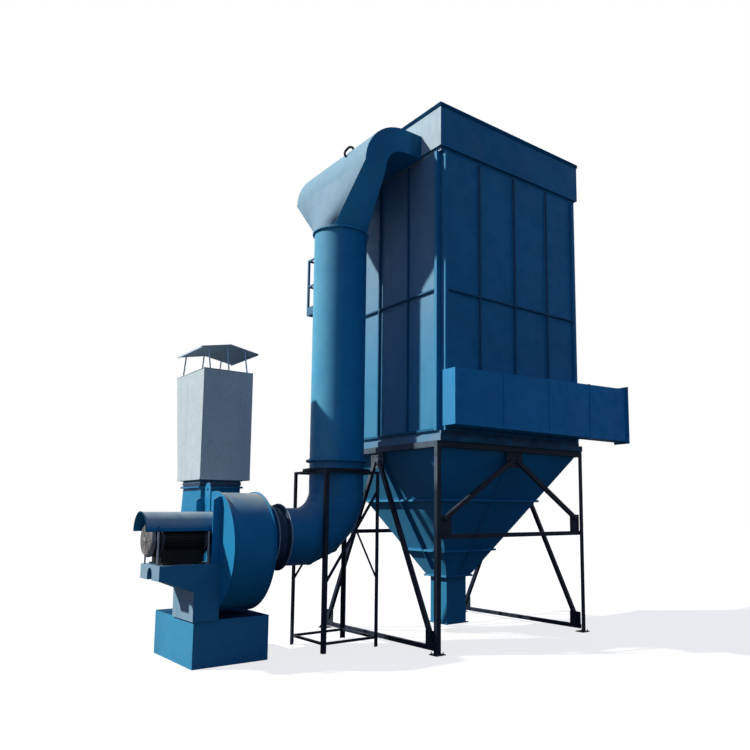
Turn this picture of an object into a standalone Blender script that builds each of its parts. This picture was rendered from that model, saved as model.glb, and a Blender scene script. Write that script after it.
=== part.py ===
"""Bag-house dust collector with its centrifugal fan, modelled in metres, +Z up.

Plan axes: X runs along the long inlet manifold, Y runs away from it.
The design corner (x = 0, y = 0) is the corner of the filter housing at the manifold's closed end.
"""
import math

import bmesh
import bpy
from mathutils import Vector

# Clearance between pieces that touch
GAP = 0.0003

# Filter housing
HOUSING_X = 2.75
HOUSING_Y = 2.80
LEG_H = 2.61
RING_BEAM_H = 0.08
RING_BEAM_W = 0.07
BEAM_OUT_X = 0.06
BEAM_OUT_Y = 0.0
SKIRT_H = 0.082
JOINT_H = 0.052
WALL_H = 3.825
LOWER_WALL_H = 1.895
BAYS = 4
WALL_T = 0.006
RIB_W = 0.022
RIB_OUT = 0.035
CORNER_W = 0.10
CORNER_T = 0.006
NOTCH_X = 0.08
NOTCH_Y = 0.085

# Clean air plenum on top of the housing
PLENUM_H = 0.61
PLENUM_OUT = 0.037
ROOF_T = 0.012
RIM_H = 0.05
RIM_W = 0.05

# Legs and bracing
LEG_W = 0.065
LEG_T = 0.008
BASE_PLATE = 0.15
BASE_PLATE_T = 0.012
BRACE_W = 0.06
BRACE_D = 0.05
RAIL_Z = 0.075
GUSSET_T = 0.01
MID_GUSSET_DROP = 1.025
STRUT_DROP = 1.15

# Hopper and spout
PYRAMID_H = 1.79
OUTLET_W = 0.46
OUTLET_SHIFT = 0.07
HOPPER_CLEAR = 0.01
STIFF_W = 0.05
STIFF_T = 0.03
STIFF_AT = (0.207, 0.615)
HOPPER_RIB_OUT = 0.04
HOPPER_RIB_T = 0.012
SPOUT_W = 0.38
SPOUT_Z = 0.12
SPOUT_T = 0.005
SPOUT_FLANGE = 0.035
SPOUT_FLANGE_T = 0.012

# Inlet manifold
MANIFOLD_D = 0.283
MANIFOLD_UP = 0.056
MANIFOLD_H = 0.73
MANIFOLD_RISE = 0.105
MANIFOLD_FIRST = 0.866
MANIFOLD_PITCH = 0.908
MANIFOLD_SEGMENTS = 4
MANIFOLD_T = 0.005
SEAM_OUT = 0.008
SEAM_W = 0.016
INLET_FLANGE = 0.035
INLET_FLANGE_T = 0.012

# Outlet duct: flat elbow, transition, riser, lower elbow
TOP_ELBOW_W = 1.86
TOP_ELBOW_SHIFT = -0.08
TOP_ELBOW_UP = 0.011
TOP_ELBOW_T = 0.33
TOP_ELBOW_IN = 0.31
TOP_ELBOW_STRAIGHT = 0.283
TRANSITION_H = 0.67
RISER_D = 0.74
RISER_X = -0.70
TOP_FLANGE_OUT = 0.028
FLANGE_OUT = 0.05
FLANGE_T = 0.012
ELBOW_R = 0.62
ELBOW_GORES = 5
ELBOW_STUB = 0.25
ELBOW_TOP_STUB = 0.387
SUPPORT_T = 0.03
SUPPORT_OUT = 0.09

# Centrifugal fan
FAN_Z = 1.45
CONNECTOR_L = 0.16
INLET_CONE_L = 0.19
INLET_CONE_D = 0.86
SCROLL_W = 0.52
SCROLL_R0 = 0.545
SCROLL_R1 = 1.08
CUTOFF_Y = 0.40
NECK_UP = 0.62
NECK_LEAN = 0.10
SCROLL_LIP = 0.018
SCROLL_PLATE_T = 0.012
NECK_FLANGE = 0.035
NECK_FLANGE_T = 0.014
SLEEVE_H = 0.09

# Exhaust stack and rain cap
STACK_X = 0.66
STACK_Y = 0.80
STACK_Y_TOP = 1.00
STACK_FRONT = 0.03
STACK_SHIFT = 0.05
STACK_H = 1.43
STACK_T = 0.004
CAP_GAP = 0.27
CAP_X = 0.78
CAP_Y = 0.89
CAP_RISE = 0.075
CAP_HEM = 0.02
CAP_SHIFT = 0.035
CAP_T = 0.008
STAY_W = 0.018
STAY_T = 0.005

# Motor, pedestal and cover
MOTOR_R = 0.19
MOTOR_L = 0.63
MOTOR_GAP = 0.08
COWL_R = 0.195
COWL_L = 0.05
SHAFT_R = 0.07
BED_DOWN = 0.28
BED_DROP = 0.17
BED_W = 0.66
BED_FLAT = 0.07
BED_SLOPE = 0.135
BED_ARCH_W = 0.16
BED_ARCH_H = 0.14
PEDESTAL_X = 0.305
COVER_R = 0.22
COVER_UP = 0.10
COVER_T = 0.006
COVER_OVER = 0.075
TOWER_OUT = 0.10
TOWER_W = 0.012
PLINTH_H = 0.53
PLINTH_X = 0.925
PLINTH_Y = 1.30
PLINTH_SHIFT = 0.08
LUG_W = 0.17
LUG_UP = 0.675
LUG_HOLE = 0.04
LUG_DOWN = 0.268

# Duct stand
STAND_POST = 0.04
STAND_CLEAR = 0.008
STAND_UP = 0.865
STAND_RAIL_Z = 0.12
KNEE = 0.35

# Service platform on the back wall
PLATFORM_UP = 2.331
PLATFORM_W = 0.80
PLATFORM_T = 0.04
GUARD_H = 0.95
GUARD_TUBE = 0.035
BRACKET_H = 0.70

# Derived levels
BEAM_TOP = LEG_H + RING_BEAM_H
WALL_Z = BEAM_TOP + SKIRT_H + JOINT_H
RIB_Z = WALL_Z + LOWER_WALL_H
PLENUM_Z = WALL_Z + WALL_H
ROOF_Z = PLENUM_Z + PLENUM_H
OUTLET_Z = LEG_H - PYRAMID_H
MANIFOLD_Z = WALL_Z + MANIFOLD_UP
TOP_ELBOW_Z = PLENUM_Z + TOP_ELBOW_UP
RISER_TOP = TOP_ELBOW_Z - TOP_ELBOW_IN - TRANSITION_H
RISER_BOTTOM = FAN_Z + ELBOW_R + ELBOW_TOP_STUB
NECK_Z = FAN_Z + NECK_UP
BED_Z = FAN_Z - BED_DOWN
COVER_Z = FAN_Z + COVER_UP
STAND_TOP = FAN_Z + STAND_UP
PLATFORM_Z = WALL_Z + PLATFORM_UP
RISER_Y = HOUSING_Y / 2
RISER_R = RISER_D / 2
MANIFOLD_END = MANIFOLD_FIRST + MANIFOLD_PITCH * (MANIFOLD_SEGMENTS - 1)
ELBOW_END_X = RISER_X - ELBOW_R - ELBOW_STUB
SCROLL_X1 = ELBOW_END_X - CONNECTOR_L - INLET_CONE_L
SCROLL_X0 = SCROLL_X1 - SCROLL_W
SCROLL_XC = (SCROLL_X0 + SCROLL_X1) / 2
SCROLL_K = math.log(SCROLL_R1 / SCROLL_R0) / (1.5 * math.pi)
OUTLET_Y0 = RISER_Y + CUTOFF_Y
OUTLET_Y1 = RISER_Y + SCROLL_R1 - NECK_LEAN
STACK_Z = NECK_Z + NECK_FLANGE_T + SLEEVE_H
STACK_TOP = STACK_Z + STACK_H
MOTOR_X1 = SCROLL_X0 - MOTOR_GAP
MOTOR_X0 = MOTOR_X1 - MOTOR_L
COWL_X0 = MOTOR_X0 - COWL_L
COVER_X0 = COWL_X0 - COVER_OVER
CAP_Z = STACK_TOP + CAP_GAP

# Plan shift that puts the origin under the middle of the plan outline
X_MIN = COVER_X0
X_MAX = MANIFOLD_END + INLET_FLANGE_T
Y_MIN = -MANIFOLD_D - INLET_FLANGE
Y_MAX = HOUSING_Y + RIB_OUT + GAP + PLATFORM_W
SHIFT = Vector((-(X_MIN + X_MAX) / 2, -(Y_MIN + Y_MAX) / 2, 0.0))

for old in list(bpy.data.objects):
    bpy.data.objects.remove(old, do_unlink=True)

plan_origin = bpy.data.objects.new("plan_origin", None)
plan_origin.location = SHIFT
bpy.context.collection.objects.link(plan_origin)


def material(name, colour, roughness, metallic=0.0):
    mat = bpy.data.materials.new(name)
    mat.use_nodes = True
    shader = mat.node_tree.nodes["Principled BSDF"]
    shader.inputs["Base Color"].default_value = (*colour, 1.0)
    shader.inputs["Roughness"].default_value = roughness
    shader.inputs["Metallic"].default_value = metallic
    return mat


def blue(name):
    return material(name + "_paint", (0.012, 0.125, 0.27), 0.38)


def black(name):
    return material(name + "_paint", (0.012, 0.014, 0.020), 0.50)


def galvanised(name):
    return material(name + "_zinc", (0.42, 0.45, 0.48), 0.42, 0.75)


def rubber(name):
    return material(name + "_rubber", (0.018, 0.020, 0.024), 0.80)


def add_object(name, bm, mat=None, smooth=None):
    """Turn a bmesh into a named object under the plan origin."""
    bmesh.ops.recalc_face_normals(bm, faces=bm.faces)
    mesh = bpy.data.meshes.new(name)
    bm.to_mesh(mesh)
    bm.free()
    if smooth:
        for poly in mesh.polygons:
            poly.use_smooth = True
        mesh.set_sharp_from_angle(angle=math.radians(smooth))
    obj = bpy.data.objects.new(name, mesh)
    obj.parent = plan_origin
    if mat:
        mesh.materials.append(mat)
    bpy.context.collection.objects.link(obj)
    return obj


def loft_into(bm, rings, closed=False):
    """Skin equal rings; the ends are capped unless the row of rings closes on itself."""
    rows = [[bm.verts.new(p) for p in ring] for ring in rings]
    count = len(rows[0])
    pairs = list(zip(rows, rows[1:]))
    if closed:
        pairs.append((rows[-1], rows[0]))
    for low, high in pairs:
        for i in range(count):
            j = (i + 1) % count
            bm.faces.new((low[i], low[j], high[j], high[i]))
    if not closed:
        bm.faces.new(list(reversed(rows[0])))
        bm.faces.new(rows[-1])


def loft(name, rings, mat=None, smooth=None, closed=False):
    bm = bmesh.new()
    loft_into(bm, rings, closed)
    return add_object(name, bm, mat, smooth)


def rect(x0, x1, y0, y1, z):
    return [(x0, y0, z), (x1, y0, z), (x1, y1, z), (x0, y1, z)]


def rect_yz(x, y0, y1, z0, z1):
    return [(x, y0, z0), (x, y1, z0), (x, y1, z1), (x, y0, z1)]


def circle_z(cx, cy, z, r, count=48):
    turn = 2 * math.pi / count
    return [(cx + r * math.cos(i * turn), cy + r * math.sin(i * turn), z) for i in range(count)]


def circle_x(x, cy, cz, r, count=48):
    turn = 2 * math.pi / count
    return [(x, cy + r * math.cos(i * turn), cz + r * math.sin(i * turn)) for i in range(count)]


def block(name, x0, x1, y0, y1, z0, z1, mat=None):
    return loft(name, [rect(x0, x1, y0, y1, z0), rect(x0, x1, y0, y1, z1)], mat)


def extrude_y(name, profile, y0, y1, mat=None, smooth=None):
    """Extrude an (x, z) outline along Y."""
    rings = [[(x, y, z) for x, z in profile] for y in (y0, y1)]
    return loft(name, rings, mat, smooth)


def extrude_x(name, profile, x0, x1, mat=None, smooth=None):
    """Extrude a (y, z) outline along X."""
    rings = [[(x, y, z) for y, z in profile] for x in (x0, x1)]
    return loft(name, rings, mat, smooth)


def bar(name, p0, p1, across, width, depth):
    """Flat bar from p0 to p1; width lies square to the run and to the across direction."""
    p0 = Vector(p0)
    p1 = Vector(p1)
    run = (p1 - p0).normalized()
    across = Vector(across).normalized()
    side = run.cross(across).normalized()
    rings = []
    for p in (p0, p1):
        ring = []
        for a, b in ((-1, -1), (1, -1), (1, 1), (-1, 1)):
            ring.append(p + side * (a * width / 2) + across * (b * depth / 2))
        rings.append(ring)
    return loft(name, rings)


def as_tool(obj):
    obj.hide_render = True
    obj.display_type = "WIRE"
    obj.name = "tool_" + obj.name


def combine(target, tools, operation):
    """Join tools to the target, or cut them out of it, with exact Boolean modifiers."""
    for tool in tools:
        mod = target.modifiers.new(operation.lower(), "BOOLEAN")
        mod.operation = operation
        mod.solver = "EXACT"
        mod.object = tool
        as_tool(tool)
    return target


def fuse(target, tools):
    return combine(target, tools, "UNION")


def cut(target, tools):
    return combine(target, tools, "DIFFERENCE")


def relief(name, us, vs, height, place, mat=None):
    """Closed plate on a grid: height(i, j) is the thickness of each cell, 0 leaves it open."""
    bm = bmesh.new()
    known = {}

    def vert(i, j, h):
        key = (i, j, round(h, 7))
        if key not in known:
            known[key] = bm.verts.new(place(us[i], vs[j], h))
        return known[key]

    nu = len(us) - 1
    nv = len(vs) - 1
    tops = [[height(i, j) for j in range(nv)] for i in range(nu)]
    levels = sorted({0.0} | {h for row in tops for h in row})

    def top(i, j):
        return tops[i][j] if 0 <= i < nu and 0 <= j < nv else 0.0

    for i in range(nu):
        for j in range(nv):
            here = top(i, j)
            if here == 0.0:
                continue
            for h in (0.0, here):
                cell = ((i, j), (i + 1, j), (i + 1, j + 1), (i, j + 1))
                bm.faces.new([vert(a, b, h) for a, b in cell])
            sides = (
                (top(i - 1, j), (i, j), (i, j + 1)),
                (top(i + 1, j), (i + 1, j), (i + 1, j + 1)),
                (top(i, j - 1), (i, j), (i + 1, j)),
                (top(i, j + 1), (i, j + 1), (i + 1, j + 1)),
            )
            for other, a, b in sides:
                for low, high in zip(levels, levels[1:]):
                    if low >= other and high <= here:
                        side = (vert(*a, low), vert(*b, low), vert(*b, high), vert(*a, high))
                        bm.faces.new(side)
    return add_object(name, bm, mat)


# Columns: equal angles with a base plate, their outer corner flush with the ring beam
COLUMNS = (
    ("leg_front_left", 0, 0),
    ("leg_front_right", 1, 0),
    ("leg_back_left", 0, 1),
    ("leg_back_right", 1, 1),
)
LEG_X = (-BEAM_OUT_X, HOUSING_X + BEAM_OUT_X)
LEG_Y = (-BEAM_OUT_Y, HOUSING_Y + BEAM_OUT_Y)
for leg_name, ix, iy in COLUMNS:
    sx = 1 - 2 * ix
    sy = 1 - 2 * iy
    cx = LEG_X[ix]
    cy = LEG_Y[iy]
    angle = [(0, 0), (LEG_W, 0), (LEG_W, LEG_T), (LEG_T, LEG_T), (LEG_T, LEG_W), (0, LEG_W)]
    low = [(cx + sx * a, cy + sy * b, BASE_PLATE_T / 2) for a, b in angle]
    high = [(x, y, LEG_H - GAP) for x, y, z in low]
    leg = loft(leg_name, [low, high], black(leg_name))
    edge = (BASE_PLATE - LEG_W) / 2
    xs = sorted((cx - sx * edge, cx + sx * (BASE_PLATE - edge)))
    ys = sorted((cy - sy * edge, cy + sy * (BASE_PLATE - edge)))
    plate = block(leg_name + "_plate", xs[0], xs[1], ys[0], ys[1], 0.0, BASE_PLATE_T)
    fuse(leg, [plate])

# Ring beam that carries the hopper flange and the housing
beam_us = [LEG_X[0], LEG_X[0] + RING_BEAM_W, LEG_X[1] - RING_BEAM_W, LEG_X[1]]
beam_vs = [LEG_Y[0], LEG_Y[0] + RING_BEAM_W, LEG_Y[1] - RING_BEAM_W, LEG_Y[1]]
relief(
    "ring_beam",
    beam_us,
    beam_vs,
    lambda i, j: 0.0 if (i, j) == (1, 1) else RING_BEAM_H,
    lambda u, v, h: (u, v, LEG_H + h),
    black("ring_beam"),
)


def bracing(name, span, place, across, low_z, apex_z, strut_z, rail_z):
    """Chevron between two columns; place(u, z) puts a point of its plane in plan."""
    lo = LEG_W + GAP
    hi = span - lo
    mid = span / 2
    inset = 0.10
    tools = []
    plate_h = 0.22
    plate_w = 0.30
    gusset = bar(name, place(mid, apex_z - plate_h), place(mid, apex_z), across, plate_w, GUSSET_T)
    gusset.data.materials.append(black(name))
    for sign, foot in ((-1, lo), (1, hi)):
        start = place(foot - sign * inset * 0.7, low_z + inset * 0.9)
        end = place(mid + sign * 0.05, apex_z - plate_h * 0.55)
        tools.append(bar(name + "_diagonal", start, end, across, BRACE_W, BRACE_D))
        half = 0.10
        low_end = place(foot - sign * half, low_z - 0.03 if rail_z else low_z - 0.15)
        high_end = place(foot - sign * half, low_z + 0.21 if rail_z else low_z + 0.15)
        tools.append(bar(name + "_gusset", low_end, high_end, across, half * 2, GUSSET_T))
    for height in (strut_z, rail_z):
        if height:
            start = place(lo, height)
            tools.append(bar(name + "_strut", start, place(hi, height), across, BRACE_W, BRACE_D * 0.8))
    return fuse(gusset, tools)


PLANE = LEG_T + BRACE_D / 2
SPAN_X = LEG_X[1] - LEG_X[0]
SPAN_Y = LEG_Y[1] - LEG_Y[0]
APEX_Z = LEG_H - GAP
for side_name, x in (("bracing_left", LEG_X[0] + PLANE), ("bracing_right", LEG_X[1] - PLANE)):
    bracing(side_name, SPAN_Y, lambda u, z: (x, LEG_Y[0] + u, z), (1, 0, 0), RAIL_Z, APEX_Z, 0, RAIL_Z)
MID_Z = LEG_H - MID_GUSSET_DROP
STRUT_Z = LEG_H - STRUT_DROP
for side_name, y in (("bracing_front", LEG_Y[0] + PLANE), ("bracing_back", LEG_Y[1] - PLANE)):
    bracing(side_name, SPAN_X, lambda u, z: (LEG_X[0] + u, y, z), (0, 1, 0), MID_Z, APEX_Z, STRUT_Z, 0)

# Hopper: a skirt and flange band on the ring beam, then an inverted pyramid with two
# stiffener rings and a rib down the middle of each face
CX = HOUSING_X / 2
CY = HOUSING_Y / 2
OUTLET_X = CX - OUTLET_SHIFT
TOP_IN_X = RING_BEAM_W - BEAM_OUT_X + HOPPER_CLEAR
TOP_IN_Y = RING_BEAM_W - BEAM_OUT_Y + HOPPER_CLEAR


def hopper_section(z):
    """Centre in X and half sizes of the pyramid at a height."""
    t = (z - OUTLET_Z) / PYRAMID_H
    hx = OUTLET_W / 2 + t * (CX - TOP_IN_X - OUTLET_W / 2)
    hy = OUTLET_W / 2 + t * (CY - TOP_IN_Y - OUTLET_W / 2)
    return OUTLET_X + t * OUTLET_SHIFT, hx, hy


def hopper_ring(z, out=0.0, lift=0.0):
    mx, hx, hy = hopper_section(z)
    return rect(mx - hx - out, mx + hx + out, CY - hy - out, CY + hy + out, z + lift)


rings = [hopper_ring(OUTLET_Z, SPOUT_FLANGE), hopper_ring(OUTLET_Z, SPOUT_FLANGE, SPOUT_FLANGE_T)]
rings.append(hopper_ring(OUTLET_Z + SPOUT_FLANGE_T))
for at in STIFF_AT:
    z = OUTLET_Z + PYRAMID_H * at
    rings.append(hopper_ring(z))
    rings.append(hopper_ring(z, STIFF_W))
    rings.append(hopper_ring(z, STIFF_W, STIFF_T))
    rings.append(hopper_ring(z + STIFF_T))
rings.append(hopper_ring(LEG_H))
rings.append(hopper_ring(LEG_H, 0.0, RING_BEAM_H + GAP))
o = RIB_OUT
for out, z in ((o, BEAM_TOP + GAP), (o, BEAM_TOP + SKIRT_H), (0.0, BEAM_TOP + SKIRT_H), (0.0, WALL_Z)):
    rings.append(rect(-out, HOUSING_X + out, -out, HOUSING_Y + out, z))
hopper = loft("hopper", rings, blue("hopper"))
ribs = []
for ux, uy in ((-1, 0), (1, 0), (0, -1), (0, 1)):
    ends = []
    for z in (OUTLET_Z + 0.10, LEG_H - 0.03):
        mx, hx, hy = hopper_section(z)
        ends.append((mx + ux * hx, CY + uy * hy, z))
    ribs.append(bar("hopper_rib", ends[0], ends[1], (uy, ux, 0), HOPPER_RIB_OUT * 2, HOPPER_RIB_T))
fuse(hopper, ribs)

# Discharge spout: an open square tube flanged to the hopper outlet
s = SPOUT_W / 2
f = OUTLET_W / 2 + SPOUT_FLANGE
n = s - SPOUT_T
top = OUTLET_Z - GAP
rings = []
for half, z in (
    (f, top),
    (f, top - SPOUT_FLANGE_T),
    (s, top - SPOUT_FLANGE_T),
    (s, SPOUT_Z + SPOUT_FLANGE_T),
    (s + 0.03, SPOUT_Z + SPOUT_FLANGE_T),
    (s + 0.03, SPOUT_Z),
    (n, SPOUT_Z),
    (n, top),
):
    rings.append(rect(OUTLET_X - half, OUTLET_X + half, CY - half, CY + half, z))
loft("discharge_spout", rings, blue("discharge_spout"), closed=True)


# Walls: sheet panels between the corner posts, with ribs at the bay lines and at mid height
def wall(name, length, place):
    us = [CORNER_W + GAP]
    for k in range(1, BAYS):
        us += [length * k / BAYS - RIB_W / 2, length * k / BAYS + RIB_W / 2]
    us.append(length - CORNER_W - GAP)
    vs = [WALL_Z + GAP, WALL_Z + GAP + 0.03, RIB_Z - RIB_W / 2, RIB_Z + RIB_W / 2, PLENUM_Z]

    def height(i, j):
        return WALL_T + RIB_OUT if i % 2 == 1 or j % 2 == 0 else WALL_T

    relief(name, us, vs, height, place, blue(name))


wall("front_wall", HOUSING_X, lambda u, v, h: (u, WALL_T - h, v))
wall("back_wall", HOUSING_X, lambda u, v, h: (u, HOUSING_Y - WALL_T + h, v))
wall("left_wall", HOUSING_Y, lambda u, v, h: (WALL_T - h, u, v))
wall("right_wall", HOUSING_Y, lambda u, v, h: (HOUSING_X - WALL_T + h, u, v))

# Corner posts: folded so that two panel edges meet in a set-back corner
for post_name, ix, iy in COLUMNS:
    sx = 1 - 2 * ix
    sy = 1 - 2 * iy
    cx = ix * HOUSING_X - sx * RIB_OUT
    cy = iy * HOUSING_Y - sy * RIB_OUT
    leg_len = CORNER_W + RIB_OUT
    t = CORNER_T
    angle = [(0, NOTCH_Y), (NOTCH_X, NOTCH_Y), (NOTCH_X, 0), (leg_len, 0), (leg_len, RIB_OUT + t)]
    angle += [(NOTCH_X + t, RIB_OUT + t), (NOTCH_X + t, NOTCH_Y + t), (RIB_OUT + t, NOTCH_Y + t)]
    angle += [(RIB_OUT + t, leg_len), (0, leg_len)]
    low = [(cx + sx * a, cy + sy * b, WALL_Z + GAP) for a, b in angle]
    high = [(x, y, PLENUM_Z) for x, y, _ in low]
    post = post_name.replace("leg", "corner_post")
    loft(post, [low, high], blue(post))

# Plenum and its roof sheet with a turned-up rim
o = PLENUM_OUT
rings = []
for out, z in ((0.0, PLENUM_Z + GAP), (0.0, PLENUM_Z + JOINT_H), (o, PLENUM_Z + JOINT_H), (o, ROOF_Z)):
    rings.append(rect(-out, HOUSING_X + out, -out, HOUSING_Y + out, z))
loft("plenum", rings, blue("plenum"))
roof_us = [-o - 0.012, -o - 0.012 + RIM_W, HOUSING_X + o + 0.012 - RIM_W, HOUSING_X + o + 0.012]
roof_vs = [-o - 0.012, -o - 0.012 + RIM_W, HOUSING_Y + o + 0.012 - RIM_W, HOUSING_Y + o + 0.012]
relief(
    "plenum_roof",
    roof_us,
    roof_vs,
    lambda i, j: ROOF_T if (i, j) == (1, 1) else RIM_H,
    lambda u, v, h: (u, v, ROOF_Z + GAP + h),
    blue("plenum_roof"),
)

# Inlet manifold: a tapering box on the front wall, closed at the left, open at the right
man_y1 = -RIB_OUT - GAP


def manifold_ring(x, grow):
    top = MANIFOLD_Z + MANIFOLD_H + MANIFOLD_RISE * x / MANIFOLD_END
    return rect_yz(x, -MANIFOLD_D - grow, man_y1 - max(-grow, 0.0), MANIFOLD_Z - grow, top + grow)


rings = [manifold_ring(0.0, 0.0)]
for k in range(MANIFOLD_SEGMENTS - 1):
    seam = MANIFOLD_FIRST + MANIFOLD_PITCH * k
    for side, grow in ((-1, 0.0), (-1, SEAM_OUT), (1, SEAM_OUT), (1, 0.0)):
        rings.append(manifold_ring(seam + side * SEAM_W / 2, grow))
rings.append(manifold_ring(MANIFOLD_END - GAP - INLET_FLANGE_T, 0.0))
rings.append(manifold_ring(MANIFOLD_END - GAP - INLET_FLANGE_T, INLET_FLANGE))
rings.append(manifold_ring(MANIFOLD_END - GAP, INLET_FLANGE))
rings.append(manifold_ring(MANIFOLD_END - GAP, -MANIFOLD_T))
rings.append(manifold_ring(MANIFOLD_T, -MANIFOLD_T))
loft("inlet_manifold", rings, blue("inlet_manifold"))

frame_in = manifold_ring(MANIFOLD_END, -MANIFOLD_T)
frame_out = manifold_ring(MANIFOLD_END, INLET_FLANGE)
face_in = [(x + INLET_FLANGE_T, y, z) for x, y, z in frame_in]
face_out = [(x + INLET_FLANGE_T, y, z) for x, y, z in frame_out]
loft("inlet_flange", [frame_out, face_out, face_in, frame_in], blue("inlet_flange"), closed=True)

# Flat outlet elbow from the plenum, turning down
ELBOW_CX = -PLENUM_OUT - GAP - TOP_ELBOW_STRAIGHT
ELBOW_CZ = TOP_ELBOW_Z - TOP_ELBOW_IN
elbow_outer = TOP_ELBOW_IN + TOP_ELBOW_T
y0 = RISER_Y + TOP_ELBOW_SHIFT - TOP_ELBOW_W / 2
y1 = RISER_Y + TOP_ELBOW_SHIFT + TOP_ELBOW_W / 2
profile = [(-PLENUM_OUT - GAP, TOP_ELBOW_Z), (-PLENUM_OUT - GAP, TOP_ELBOW_Z + TOP_ELBOW_T)]
steps = 12
for i in range(steps + 1):
    a = math.pi / 2 * (1 + i / steps)
    profile.append((ELBOW_CX + elbow_outer * math.cos(a), ELBOW_CZ + elbow_outer * math.sin(a)))
for i in range(steps + 1):
    a = math.pi / 2 * (2 - i / steps)
    profile.append((ELBOW_CX + TOP_ELBOW_IN * math.cos(a), ELBOW_CZ + TOP_ELBOW_IN * math.sin(a)))
extrude_y("outlet_elbow", profile, y0, y1, blue("outlet_elbow"), smooth=30)

# Rectangular to round transition below the flat elbow
TRANS_TOP = ELBOW_CZ - GAP
tx0 = ELBOW_CX - elbow_outer
tx1 = ELBOW_CX - TOP_ELBOW_IN


def square_to_round(bm, arc, corners):
    """Skin four fans and four triangles between a round end and a rectangle, as bent sheet is."""
    quarter = len(arc) // 4
    for k in range(4):
        here = corners[k]
        for i in range(quarter):
            a = k * quarter + i
            bm.faces.new((arc[a], arc[(a + 1) % len(arc)], here))
        bm.faces.new((here, arc[((k + 1) * quarter) % len(arc)], corners[(k + 1) % 4]))


TRANS_BOTTOM = RISER_TOP + GAP
bm = bmesh.new()
rows = []
for z, r in (
    (TRANS_BOTTOM, RISER_R + TOP_FLANGE_OUT),
    (TRANS_BOTTOM + FLANGE_T, RISER_R + TOP_FLANGE_OUT),
    (TRANS_BOTTOM + FLANGE_T, RISER_R),
    (TRANS_BOTTOM + FLANGE_T + 0.02, RISER_R),
):
    rows.append([bm.verts.new(p) for p in circle_z(RISER_X, RISER_Y, z, r)])
bm.faces.new(rows[0])
for low_row, high_row in zip(rows, rows[1:]):
    for i in range(48):
        j = (i + 1) % 48
        bm.faces.new((low_row[i], low_row[j], high_row[j], high_row[i]))
corners = [bm.verts.new((x, y, TRANS_TOP)) for x, y in ((tx1, y1), (tx0, y1), (tx0, y0), (tx1, y0))]
square_to_round(bm, rows[-1], corners)
bm.faces.new(corners)
add_object("outlet_transition", bm, blue("outlet_transition"), smooth=25)

# Riser duct with its end flanges
rings = []
for z, r in (
    (RISER_BOTTOM, RISER_R + FLANGE_OUT),
    (RISER_BOTTOM + FLANGE_T, RISER_R + FLANGE_OUT),
    (RISER_BOTTOM + FLANGE_T, RISER_R),
    (RISER_TOP - FLANGE_T, RISER_R),
    (RISER_TOP - FLANGE_T, RISER_R + TOP_FLANGE_OUT),
    (RISER_TOP, RISER_R + TOP_FLANGE_OUT),
):
    rings.append(circle_z(RISER_X, RISER_Y, z, r))
loft("riser_duct", rings, blue("riser_duct"), smooth=30)

# Lobster-back elbow: straight gores that meet on mitre planes
BEND_X = RISER_X - ELBOW_R
BEND_Z = FAN_Z + ELBOW_R


def elbow_ring(theta, stretch, r):
    """Ring on the plane at bend angle theta, with the gore's elements stretched to the mitre."""
    points = []
    for i in range(48):
        a = 2 * math.pi * i / 48
        d = (ELBOW_R + r * math.cos(a)) / stretch
        points.append((BEND_X + d * math.cos(theta), RISER_Y + r * math.sin(a), BEND_Z - d * math.sin(theta)))
    return points


def shift_ring(ring, dx, dz):
    return [(x + dx, y, z + dz) for x, y, z in ring]


gore = math.pi / 2 / (ELBOW_GORES - 1)
top_z = RISER_BOTTOM - GAP - BEND_Z
base = elbow_ring(0.0, 1.0, RISER_R)
wide = elbow_ring(0.0, 1.0, RISER_R + FLANGE_OUT)
rings = [shift_ring(wide, 0, top_z), shift_ring(wide, 0, top_z - FLANGE_T)]
rings += [shift_ring(base, 0, top_z - FLANGE_T), base]
for k in range(ELBOW_GORES - 1):
    rings.append(elbow_ring(gore * (k + 0.5), math.cos(gore / 2), RISER_R))
base = elbow_ring(math.pi / 2, 1.0, RISER_R)
wide = elbow_ring(math.pi / 2, 1.0, RISER_R + FLANGE_OUT)
rings += [base, shift_ring(base, FLANGE_T - ELBOW_STUB, 0), shift_ring(wide, FLANGE_T - ELBOW_STUB, 0)]
rings.append(shift_ring(wide, -ELBOW_STUB, 0))
loft("lower_elbow", rings, blue("lower_elbow"), smooth=12)

# Support ring that stands on the duct stand
ring_in = RISER_R + GAP
ring_out = RISER_R + SUPPORT_OUT
z0 = STAND_TOP + GAP
rings = [
    circle_z(RISER_X, RISER_Y, z0, ring_out),
    circle_z(RISER_X, RISER_Y, z0 + SUPPORT_T, ring_out),
    circle_z(RISER_X, RISER_Y, z0 + SUPPORT_T, ring_in),
    circle_z(RISER_X, RISER_Y, z0, ring_in),
]
loft("support_ring", rings, black("support_ring"), smooth=30, closed=True)

# Flexible connector: two flanged ends and a soft sleeve with one bulge
rings = []
x1 = ELBOW_END_X - GAP
x0 = ELBOW_END_X - CONNECTOR_L + GAP
for t, r in (
    (0, FLANGE_OUT),
    (0.08, FLANGE_OUT),
    (0.08, -0.012),
    (0.25, 0.0),
    (0.5, 0.018),
    (0.75, 0.0),
    (0.92, -0.012),
    (0.92, FLANGE_OUT),
    (1, FLANGE_OUT),
):
    rings.append(circle_x(x0 + (x1 - x0) * t, RISER_Y, FAN_Z, RISER_R + r))
loft("flexible_connector", rings, rubber("flexible_connector"), smooth=30)

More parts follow.
